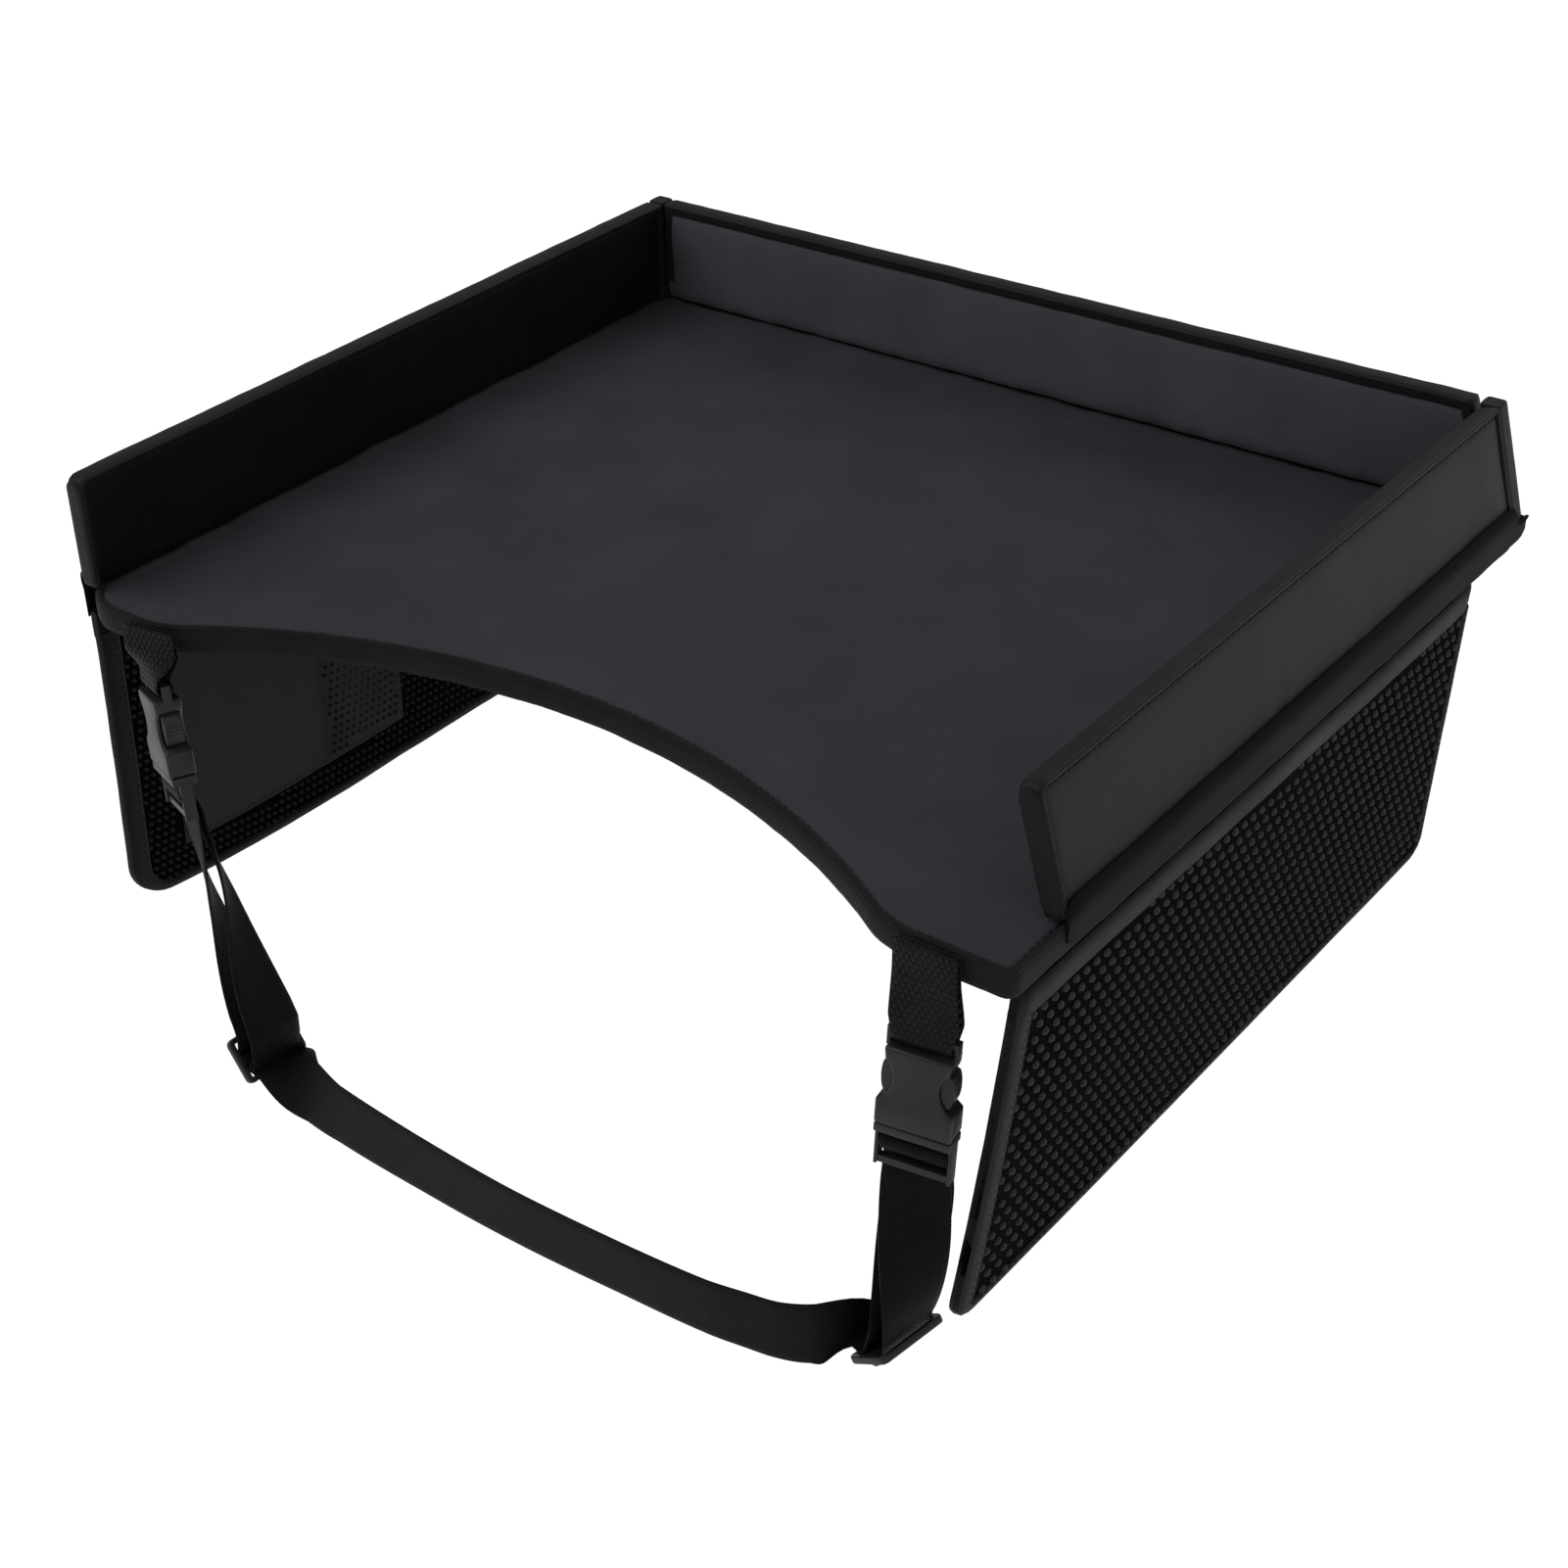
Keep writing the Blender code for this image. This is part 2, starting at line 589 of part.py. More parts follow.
def build_female(side, frame, tray):
    """Socket half: a flat box open at the mouth and at both scoops, with a webbing bar on its head."""
    holder = empty(f"buckle_{side}_axes", frame, tray)
    centre = WAIST_HALF_WIDTH + SCOOP_RADIUS
    top = math.degrees(math.asin(HEAD_SHOULDER / SCOOP_RADIUS))
    low = math.degrees(math.acos((centre - BUCKLE_HALF_WIDTH) / SCOOP_RADIUS))
    scoop = arc((centre, 0.0), SCOOP_RADIUS, 180 - top, 180 + low, SCOOP_STEPS)
    half = [(HEAD_HALF_WIDTH - BUCKLE_WALL / 2, HEAD_TOP)] + scoop + [(BUCKLE_HALF_WIDTH, -MOUTH)]
    depth = BUCKLE_THICKNESS / 2
    body = prism(f"buckle_{side}_socket", mirrored(half), -depth, depth, holder, "buckle", upright=True)
    round_edges(body, BUCKLE_ROUNDING)

    loop_low = HEAD_TOP - BUCKLE_WALL
    loop_half = [(HEAD_HALF_WIDTH, LOOP_TOP), (HEAD_HALF_WIDTH, loop_low)]
    loop_depth = LOOP_THICKNESS / 2
    loop = prism(f"cut_{side}_loop", mirrored(loop_half), -loop_depth, loop_depth, holder, None, upright=True)
    combine(body, [loop], "UNION")

    slot_half = [(LOOP_SLOT_HALF_WIDTH, LOOP_TOP - LOOP_BAR), (LOOP_SLOT_HALF_WIDTH, LOOP_SLOT_BOTTOM)]
    slot = prism(f"cut_{side}_slot", mirrored(slot_half), -BUCKLE_THICKNESS, BUCKLE_THICKNESS, holder, None, upright=True)
    cavity_half = [
        (CAVITY_HALF_WIDTH - CAVITY_NARROW, CAVITY_TOP),
        (CAVITY_HALF_WIDTH - CAVITY_NARROW, CAVITY_STEP + CAVITY_NARROW),
        (CAVITY_HALF_WIDTH, CAVITY_STEP),
        (CAVITY_HALF_WIDTH, -MOUTH - CUT_OVERRUN),
    ]
    inside = depth - BUCKLE_WALL
    cavity = prism(f"cut_{side}_cavity", mirrored(cavity_half), -inside, inside, holder, None, upright=True)
    combine(body, [slot, cavity], "DIFFERENCE")
    smooth(body)
    return holder


def build_male(side, holder):
    """Plug half: collar, guide tongue and the ladder that carries the strap."""
    inside = BUCKLE_THICKNESS / 2 - BUCKLE_WALL - ARM_CLEARANCE
    collar_top = -MOUTH - GAP
    collar_low = collar_top - COLLAR_HEIGHT
    depth = LADDER_THICKNESS / 2
    parts = {
        "plug": ((ARM_SHOULDER, inside), (collar_low, -MOUTH + GAP)),
        "tongue": ((TONGUE_HALF_WIDTH, TONGUE_THICKNESS / 2), (collar_low, TONGUE_TOP)),
        "bar": ((BUCKLE_HALF_WIDTH - LADDER_POST / 2, LADDER_BAR_THICKNESS / 2), ladder_bar()),
        "foot": ((BUCKLE_HALF_WIDTH - LADDER_POST / 2, LADDER_FOOT_THICKNESS / 2), ladder_foot()),
    }
    body = block(
        f"buckle_{side}_plug",
        (-BUCKLE_HALF_WIDTH, -BUCKLE_THICKNESS / 2 + BUCKLE_ROUNDING / 2, collar_low),
        (BUCKLE_HALF_WIDTH, BUCKLE_THICKNESS / 2 - BUCKLE_ROUNDING / 2, collar_top),
        holder,
        "buckle",
    )
    round_edges(body, BUCKLE_ROUNDING / 2)
    tools = []
    for part, ((half_width, half_depth), (low, high)) in parts.items():
        tools.append(block(
            f"cut_{side}_{part}",
            (-half_width, -half_depth, low),
            (half_width, half_depth, high),
            holder,
            None,
        ))
    for sign in (-1, 1):
        edges = sorted((sign * BUCKLE_HALF_WIDTH, sign * (BUCKLE_HALF_WIDTH - LADDER_POST)))
        low = (edges[0], -depth, -LADDER_BOTTOM)
        high = (edges[1], depth, collar_low + BUCKLE_WALL)
        tools.append(block(f"cut_{side}_post_{'ab'[sign > 0]}", low, high, holder, None))
    combine(body, tools, "UNION")
    smooth(body)


def ladder_foot():
    return (-LADDER_BOTTOM, -LADDER_BOTTOM + LADDER_FOOT)


def ladder_bar():
    """The bar that the strap wraps round, midway between the collar and the ladder's foot."""
    collar_low = -MOUTH - GAP - COLLAR_HEIGHT
    room = collar_low - ladder_foot()[1] - LADDER_BAR
    low = ladder_foot()[1] + room * LADDER_BAR_SHARE
    return (low, low + LADDER_BAR)


def build_arm(side, edge, holder):
    """One latch arm, on an empty at its root; edge is -1 or 1 along the buckle's width."""
    root = Vector((edge * (ARM_INSIDE + ARM_WIDTH / 2), 0.0, -MOUTH + 2 * GAP))
    which = "inner" if edge * TAB_X[side] < 0 else "outer"
    pivot = empty(f"latch_{side}_{which}_root", Matrix.Translation(root), holder)
    button_low = -BUTTON_HALF_HEIGHT - BUCKLE_ROUNDING
    bulge = BUTTON_REACH - ARM_SHOULDER
    # Bulge of the button along its height, as shares of its reach and half height
    swell_shares = [(0.68, -0.93), (0.94, -0.45), (1.0, 0.0), (0.94, 0.45), (0.68, 0.93)]
    outline = [
        (ARM_INSIDE, root.z),
        (ARM_INSIDE + ARM_WIDTH, root.z),
        (ARM_SHOULDER, -MOUTH + ARM_SHOULDER - ARM_WIDTH),
        (ARM_SHOULDER, button_low),
    ]
    outline += [(ARM_SHOULDER + bulge * out, BUTTON_HALF_HEIGHT * up) for out, up in swell_shares]
    outline += [
        (ARM_NECK, -button_low),
        (ARM_NECK - BUCKLE_ROUNDING, ARM_TIP),
        (ARM_INSIDE, ARM_TIP),
    ]
    local = [(edge * x - root.x, z - root.z) for x, z in outline]
    depth = BUCKLE_THICKNESS / 2 - BUCKLE_WALL - ARM_CLEARANCE
    arm = prism(f"latch_arm_{side}_{which}", local, -depth, depth, pivot, "buckle", upright=True)
    round_edges(arm, BUCKLE_ROUNDING / 2, 1)
    smooth(arm)


def build_slider(side, tray):
    frame = empty(f"slider_{side}_axes", slider_axes(side), tray)
    wide, tall, deep = SLIDER_HALF_WIDTH, SLIDER_HALF_HEIGHT, SLIDER_THICKNESS / 2
    plate = prism(
        f"slider_{side}",
        mirrored([(wide, tall), (wide, -tall)]),
        -deep,
        deep,
        frame,
        "buckle",
        upright=True,
    )
    round_edges(plate, BUCKLE_ROUNDING)
    slots = []
    inner = WEB_WIDTH / 2 + STITCH_GAP
    for sign in (-1, 1):
        heights = sorted((sign * SLIDER_BAR / 2, sign * (SLIDER_BAR / 2 + SLIDER_SLOT)))
        outline = mirrored([(inner, heights[1]), (inner, heights[0])])
        slots.append(prism(
            f"cut_{side}_slider_{'ab'[sign > 0]}",
            outline,
            -SLIDER_THICKNESS,
            SLIDER_THICKNESS,
            frame,
            None,
            upright=True,
        ))
    combine(plate, slots, "DIFFERENCE")
    smooth(plate)


def ribbon(name, stations, parent, finish_name):
    """Flat webbing swept through stations of (place, direction of its width, width)."""
    corners = []
    last = len(stations) - 1
    row = 2 * (WEB_COLUMNS + 1)
    for index, (place, across, width) in enumerate(stations):
        out = across.cross(direction(stations, index)).normalized()
        spots = [place + across * (width * (column / WEB_COLUMNS - 0.5)) for column in range(WEB_COLUMNS + 1)]
        corners += [spot - out * (WEB_THICKNESS / 2) for spot in spots]
        corners += [spot + out * (WEB_THICKNESS / 2) for spot in reversed(spots)]
    faces = []
    for start in (0, row * last):
        for column in range(WEB_COLUMNS):
            faces.append([start + spot for spot in (column, column + 1, row - 2 - column, row - 1 - column)])
    for index in range(last):
        low = row * index
        for corner in range(row):
            after = (corner + 1) % row
            faces.append([low + corner, low + after, low + row + after, low + row + corner])
    return solid(name, corners, faces, parent, finish_name)


def direction(stations, index):
    before = stations[max(index - 1, 0)][0]
    after = stations[min(index + 1, len(stations) - 1)][0]
    return (after - before).normalized()


def wrap(centre, radius, frame, start, end, width):
    """Stations round a bar, in a frame's y and z, from one angle in degrees to another."""
    across = frame.col[0].to_3d()
    points = arc(centre, radius, start, end, WRAP_STEPS)
    return [(frame @ Vector((0.0, y, z)), across, width) for y, z in points]


def build_tab(side, tray):
    """The sewn tab: down the front of the deck's edge, under the socket's bar and back up behind."""
    buckle = buckle_axes(side)
    top = tab_hinge(side)
    bar = LOOP_TOP - LOOP_BAR / 2
    radius = math.hypot(LOOP_BAR / 2, LOOP_THICKNESS / 2) + GAP + WEB_THICKNESS / 2
    half_gap = (WEB_THICKNESS + STITCH_GAP) / 2
    turn = wrap((0.0, bar), radius, buckle, 180, 360, TAB_PINCH)
    across_foot = buckle.col[0].to_3d()
    out_foot = buckle.col[1].to_3d()
    foot = buckle @ Vector((0.0, 0.0, bar))
    across_top = yawed(front_line(TAB_X[side])[1] * TAB_SETTLE_SHARE)
    out_top = Vector((0.0, 0.0, 1.0)).cross(across_top)
    lean = TAB_LEAN_SHARES[side]
    top_run = Vector((lean[0] / 2, 2 * lean[1], -1.0)) * TAB_DROP[side]
    foot_run = buckle.col[2].to_3d() * -TAB_DROP[side]
    straight = TAB_STRAIGHT_SHARE * DECK_THICKNESS / TAB_DROP[side]
    steps = STRAP_STEPS

    def layer(sign):
        rows = []
        for step in range(steps):
            share = step / steps
            turned = min(1.0, max(0.0, (share - straight) / (TAB_TURNED_SHARE - straight)))
            blend = turned * turned * (3 - 2 * turned)
            across = across_top.lerp(across_foot, blend).normalized()
            out = out_top.lerp(out_foot, blend).normalized()
            spread = half_gap + (radius - half_gap) * share ** 2
            place = hermite(top, top_run, foot, foot_run, share) + out * (sign * spread)
            from_foot = (1 - share) * TAB_DROP[side]
            width = WEB_WIDTH - (WEB_WIDTH - TAB_PINCH) * max(0.0, 1 - from_foot / TAB_FAN)
            rows.append((place, across, width))
        return rows
    ribbon(f"tab_{side}", layer(-1) + turn + layer(1)[::-1], tray, "webbing")


def hermite(start, start_run, end, end_run, share):
    square, cube = share ** 2, share ** 3
    return (
        start * (2 * cube - 3 * square + 1)
        + start_run * (cube - 2 * square + share)
        + end * (3 * square - 2 * cube)
        + end_run * (cube - square)
    )


def strap_run(start, start_across, start_run, end, end_across, end_run, power):
    """Stations between two places whose webbing widths point different ways."""
    rows = []
    for step in range(1, STRAP_STEPS):
        share = step / STRAP_STEPS
        place = hermite(start, start_run, end, end_run, share)
        rows.append((place, start_across.lerp(end_across, share ** power).normalized(), WEB_WIDTH))
    return rows


def strap_side(side):
    """One end of the belt: from its sewn end on the slider, round the plug's bar and out of the slider."""
    buckle = buckle_axes(side)
    slider = slider_axes(side)
    bar_low, bar_high = ladder_bar()
    bar = (bar_low + bar_high) / 2
    bar_radius = math.hypot(LADDER_BAR / 2, LADDER_BAR_THICKNESS / 2) + GAP + WEB_THICKNESS / 2
    foot_low, foot_high = ladder_foot()
    near = LADDER_FOOT_THICKNESS / 2 + GAP + STITCH_GAP + WEB_THICKNESS / 2
    far = near + WEB_THICKNESS + STITCH_GAP + GAP
    leave = foot_low - WEB_THICKNESS

    def in_buckle(y, z):
        return (buckle @ Vector((0.0, y, z)), buckle.col[0].to_3d(), WEB_WIDTH)
    middle = (foot_high + bar_low) / 2
    parting = math.radians(210)
    front = [
        in_buckle(bar_radius * math.cos(parting), bar + bar_radius * math.sin(parting)),
        in_buckle(0.0, middle + STITCH_GAP),
        in_buckle(near - GAP, foot_high + GAP),
        in_buckle(near, (foot_low + foot_high) / 2),
        in_buckle(near, leave),
    ]
    behind = [
        in_buckle(far, leave),
        in_buckle(far, (foot_low + foot_high) / 2),
        in_buckle(far - GAP, foot_high + GAP),
        in_buckle((far + bar_radius) / 2, middle + STITCH_GAP),
    ]
    loop = wrap((0.0, bar), bar_radius, buckle, -10, 190, WEB_WIDTH)

    run_axis = -slider.col[2].to_3d()
    side_sign = -1.0 if slider.col[1].z > 0 else 1.0
    outside = slider.col[1].to_3d() * side_sign
    place = slider.translation
    across = slider.col[0].to_3d()
    turn_radius = math.hypot(SLIDER_BAR / 2, SLIDER_THICKNESS / 2) + GAP + WEB_THICKNESS / 2
    entry = (run_axis + outside) / math.sqrt(2)
    leaving = (run_axis - outside) / math.sqrt(2)
    turn = []
    for step in range(WRAP_STEPS + 1):
        angle = math.radians(-45 + 90 * step / WRAP_STEPS)
        spot = place + run_axis * (turn_radius * math.sin(angle)) + outside * (turn_radius * math.cos(angle))
        turn.append((spot, across, WEB_WIDTH))
    enter_spot = turn[0][0] - entry * SLIDER_RUN
    leave_spot = turn[-1][0] + leaving * SLIDER_RUN
    turn.append((leave_spot, across, WEB_WIDTH))

    down = -buckle.col[2].to_3d()
    reach = (enter_spot - front[-1][0]).length
    buckle_across = buckle.col[0].to_3d()
    arrival = (entry + run_axis * STRAP_LEAN_SHARE[side]).normalized()
    main = strap_run(front[-1][0], buckle_across, down * reach, enter_spot, across, arrival * reach,
                     TWIST_POWER[side])
    main += [(enter_spot, across, WEB_WIDTH)]

    # The sewn layer follows the main one at a distance, and ends just short of the slider's bar
    sewn_end = place + entry * (turn_radius - WEB_THICKNESS / 2 - STITCH_GAP) + leaving * STRAP_LAP[side]
    inward = across.cross(entry)
    sewn_gap = (sewn_end - turn[0][0]).dot(inward)
    sewn_place = turn[0][0] + entry * (sewn_end - turn[0][0]).dot(entry)
    guide = front[-1:] + main + [(sewn_place, across, WEB_WIDTH)]
    back_up = []
    for index in range(len(guide) - 1, 0, -1):
        share = index / (len(guide) - 1)
        spot, width_line, width = guide[index]
        away = width_line.cross(direction(guide, index)).normalized()
        opening = STRAP_OPENING[side] * OPENING_SHARE * share * (1 - share) ** 2
        distance = (far - near) * (1 - share) + sewn_gap * share + opening
        back_up.append((spot + away * distance, width_line, width))
    return back_up + behind + loop + front + main + turn


def belt_middle(first, last):
    """A smooth curve through the belt's own points, between the places where it leaves the sliders."""
    points = [(first[-2][0], first[-2][1]), (first[-1][0], first[-1][1])]
    for share, across in BELT_SHARES:
        across = Vector(across).normalized()
        rise = STAND_CLEARANCE + (WEB_WIDTH * across.z + WEB_THICKNESS * (1 - across.z)) / 2
        place = Vector((share[0] * HALF_WIDTH, share[1] * BELT_REACH, rise - STAND_HEIGHT))
        points.append((place, across))
    points += [(last[-1][0], -last[-1][1]), (last[-2][0], -last[-2][1])]
    rows = []
    for index in range(1, len(points) - 2):
        before, here, after, beyond = points[index - 1:index + 3]
        span = (after[0] - here[0]).length
        here_run = (after[0] - before[0]).normalized() * span
        after_run = (beyond[0] - here[0]).normalized() * span
        for step in range(BELT_STEPS):
            share = step / BELT_STEPS
            if index == 1 and step == 0:
                continue
            place = hermite(here[0], here_run, after[0], after_run, share)
            rows.append((place, here[1].lerp(after[1], share).normalized(), WEB_WIDTH))
    return rows


def build_belt(tray):
    right = strap_side("right")
    left = strap_side("left")
    middle = belt_middle(right, left)
    flipped = [(place, -across, width) for place, across, width in reversed(left)]
    ribbon("belt_webbing", right + middle + flipped, tray, "webbing")


def main():
    clear_scene()
    tray = bpy.data.objects.new("tray", None)
    bpy.context.scene.collection.objects.link(tray)
    tray.location = GROUND_OFFSET
    build_deck(tray)
    build_walls(tray)
    build_corner_gussets(tray)
    for side in SIDES:
        build_panel(side, tray)
        build_tab(side, tray)
        holder = build_female(side, buckle_axes(side), tray)
        build_male(side, holder)
        for edge in (-1, 1):
            build_arm(side, edge, holder)
        build_slider(side, tray)
    build_belt(tray)
    bpy.context.view_layer.update()


main()
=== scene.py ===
"""Looks of the car seat tray table: cloth, bindings, webbing, mesh, buckles, light and camera.

Tray axes: x across, y from the child's side to the far side, z up. Tray zero is the middle of the
deck's front line, on the deck's top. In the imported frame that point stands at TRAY.
All lengths are in metres.
"""
import math

import bpy
import bmesh
import numpy as np
from mathutils import Matrix, Vector, noise


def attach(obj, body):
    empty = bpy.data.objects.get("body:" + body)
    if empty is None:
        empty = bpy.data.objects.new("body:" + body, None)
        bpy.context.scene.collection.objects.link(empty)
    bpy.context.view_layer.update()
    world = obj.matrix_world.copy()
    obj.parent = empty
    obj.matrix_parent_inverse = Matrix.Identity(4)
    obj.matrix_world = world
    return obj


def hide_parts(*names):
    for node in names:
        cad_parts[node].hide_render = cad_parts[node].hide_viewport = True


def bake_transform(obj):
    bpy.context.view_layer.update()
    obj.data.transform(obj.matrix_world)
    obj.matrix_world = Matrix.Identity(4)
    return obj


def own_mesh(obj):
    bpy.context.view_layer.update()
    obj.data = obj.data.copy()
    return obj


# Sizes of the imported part
GAP = 0.0003
STITCH_GAP = 0.0004
CUT_OVERRUN = 0.004
STAND_CLEARANCE = 0.0008
DECK_WIDTH, DECK_DEPTH, DECK_THICKNESS = 0.400, 0.343, 0.011
DECK_CORNER_RADIUS = 0.008
DECK_FRONT_CORNER = {"left": 0.022, "right": 0.004}
NOTCH_DEPTH, LOBE_RADIUS, LOBE_INSET = 0.0485, 0.040, 0.0335
WALL_HEIGHT, WALL_THICKNESS = 0.043, 0.008
WALL_SETBACK = {"left": 0.007, "right": 0.028}
WALL_RIGHT_LEAN = math.radians(15)
HINGE_STRIP = 0.0022
STAND_HEIGHT = 0.146
PANEL_THICKNESS = 0.0052
PANEL_FRONT_SETBACK = {"left": 0.0070, "right": 0.0055}
PANEL_TOP_LENGTH, PANEL_BOTTOM_LENGTH = 0.300, 0.325
PANEL_FRONT_BINDING, PANEL_BINDING = 0.0078, 0.0045
PANEL_TOP_BAND = 0.0090
PANEL_CORNER_RADIUS = {"left": 0.018, "right": 0.009}
PANEL_POCKET_START, PANEL_POCKET_LENGTH, PANEL_POCKET_RAISE = 0.026, 0.122, 0.014
PANEL_TILT = {"left": math.radians(1.3), "right": -math.radians(7)}
WEB_WIDTH, WEB_THICKNESS = 0.0222, 0.0013
BELT_REACH = 0.050
TAB_PINCH, TAB_HINGE_DROP, TAB_FAN = 0.0192, 0.0010, 0.006
TAB_STRAIGHT_SHARE, TAB_TURNED_SHARE, TAB_SETTLE_SHARE = 0.7, 0.88, 0.6
STRAP_OPENING = {"left": 0.0018, "right": 0.0022}
STRAP_LAP = {"left": 0.0050, "right": 0.0036}
OPENING_SHARE = 6.75
STRAP_LEAN_SHARE = {"left": 5.0, "right": 0.0}
TWIST_POWER = {"left": 1.3, "right": 1.0}
BUCKLE_HALF_WIDTH, BUCKLE_THICKNESS = 0.0124, 0.0100
BUCKLE_ROUNDING, BUCKLE_WALL = 0.0010, 0.0013
WAIST_HALF_WIDTH, SCOOP_RADIUS = 0.0074, 0.0095
HEAD_HALF_WIDTH, HEAD_TOP, HEAD_SHOULDER = 0.0113, 0.0110, 0.0067
LOOP_TOP, LOOP_SLOT_BOTTOM, LOOP_BAR, LOOP_THICKNESS = 0.0165, 0.0110, 0.0023, 0.0032
LOOP_SLOT_HALF_WIDTH = 0.0101
MOUTH = 0.0175
CAVITY_HALF_WIDTH, CAVITY_NARROW, CAVITY_STEP, CAVITY_TOP = 0.0100, 0.0010, 0.0058, 0.0096
ARM_CLEARANCE, ARM_WIDTH, ARM_INSIDE = 0.0004, 0.0026, 0.0056
ARM_TIP, ARM_SHOULDER, ARM_NECK = 0.0085, 0.0091, 0.0082
BUTTON_HALF_HEIGHT, BUTTON_REACH = 0.0056, 0.0116
TONGUE_HALF_WIDTH, TONGUE_THICKNESS, TONGUE_TOP = 0.0020, 0.0032, 0.0060
COLLAR_HEIGHT = 0.0032
LADDER_BOTTOM, LADDER_THICKNESS, LADDER_POST = 0.0345, 0.0046, 0.0010
LADDER_BAR, LADDER_BAR_THICKNESS, LADDER_BAR_SHARE = 0.0020, 0.0024, 0.56
LADDER_FOOT, LADDER_FOOT_THICKNESS = 0.0025, 0.0026
SLIDER_SLOT, SLIDER_BAR, SLIDER_RAIL, SLIDER_POST = 0.0052, 0.0030, 0.0020, 0.0022
SLIDER_THICKNESS, SLIDER_RUN = 0.0026, 0.0080
TAB_X = {"left": -0.1570, "right": 0.1720}
TAB_DROP = {"left": 0.0200, "right": 0.0310}
BUCKLE_YAW = {"left": math.radians(-24), "right": math.radians(11)}
TAB_LEAN_SHARES = {"left": (0.08, -0.10), "right": (0.02, -0.04)}
BUCKLE_LEAN_SHARES = {"left": (0.157, -0.083), "right": (-0.03, -0.058)}
SLIDER_PLACE_SHARES = {"left": (-0.434, -0.68, -0.9125), "right": (0.8755, -0.40, -0.944)}
SLIDER_YAW = {"left": math.radians(-92), "right": math.radians(82)}
SLIDER_RUN_SHARES = {"left": (0.57, 0.0, -0.82), "right": (-0.84, 0.0, -0.54)}
BELT_SHARES = [
    ((0.776, -0.73), (0.0, 0.14, 0.99)),
    ((0.730, -0.83), (0.0, 0.06, 1.0)),
    ((0.674, -0.88), (0.0, 0.04, 1.0)),
    ((0.603, -0.93), (0.0, 0.01, 1.0)),
    ((0.450, -0.97), (0.0, -0.01, 1.0)),
    ((0.220, -1.00), (0.0, 0.02, 1.0)),
    ((0.000, -0.97), (0.0, 0.08, 1.0)),
    ((-0.198, -0.91), (0.0, 0.17, 0.985)),
    ((-0.280, -0.84), (0.0, 0.36, 0.93)),
]
HALF_WIDTH = DECK_WIDTH / 2
WALL_LINE = HALF_WIDTH - WALL_THICKNESS
WALL_BACK = DECK_DEPTH - WALL_THICKNESS
BACK_ROOT = WALL_THICKNESS + GAP
SIDES = {"left": 1, "right": -1}
LOBE_CENTRE_X = HALF_WIDTH - LOBE_INSET
NOTCH_RADIUS = (LOBE_CENTRE_X ** 2 + NOTCH_DEPTH ** 2) / (2 * NOTCH_DEPTH) - LOBE_RADIUS
STRIP_REACH = GAP + HINGE_STRIP
TRAY = Vector((0, (BELT_REACH + WEB_THICKNESS - DECK_DEPTH - STRIP_REACH) / 2, STAND_HEIGHT))
TRAY_PLACE = Matrix.Translation(TRAY)
SLIDER_HALF_HEIGHT = SLIDER_BAR / 2 + SLIDER_SLOT + SLIDER_RAIL
SLIDER_HALF_WIDTH = WEB_WIDTH / 2 + STITCH_GAP + SLIDER_POST

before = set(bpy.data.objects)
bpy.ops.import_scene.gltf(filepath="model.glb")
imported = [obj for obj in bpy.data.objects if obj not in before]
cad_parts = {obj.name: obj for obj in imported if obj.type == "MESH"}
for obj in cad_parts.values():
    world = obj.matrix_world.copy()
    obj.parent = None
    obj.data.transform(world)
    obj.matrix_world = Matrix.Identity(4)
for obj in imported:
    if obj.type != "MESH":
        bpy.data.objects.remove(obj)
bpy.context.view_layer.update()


# ---------------------------------------------------------------- meshes

def link_mesh(name, points, faces, corner_uv=None):
    """A new object in the scene, its faces looking outwards."""
    mesh = bpy.data.meshes.new(name)
    mesh.from_pydata([tuple(p) for p in points], [], faces)
    if corner_uv is not None:
        layer = mesh.uv_layers.new(name="weave")
        layer.uv.foreach_set("vector", np.asarray(corner_uv, np.float32).ravel())
    form = bmesh.new()
    form.from_mesh(mesh)
    bmesh.ops.recalc_face_normals(form, faces=form.faces)
    form.to_mesh(mesh)
    form.free()
    thing = bpy.data.objects.new(name, mesh)
    bpy.context.scene.collection.objects.link(thing)
    return thing


def add_mesh(name, points, faces, material, corner_uv, angle=38):
    """A smooth object with its material; corner_uv places the weave, in metres."""
    thing = link_mesh(name, points, faces, corner_uv)
    thing.data.shade_smooth()
    thing.data.set_sharp_from_angle(angle=math.radians(angle))
    thing.data.materials.append(material)
    return thing


def lengths(line, closed=False):
    line = np.asarray(line, float)
    steps = np.linalg.norm(np.diff(line, axis=0), axis=1)
    total = np.concatenate([[0.0], np.cumsum(steps)])
    if closed:
        total = np.append(total, total[-1] + np.linalg.norm(line[0] - line[-1]))
    return total


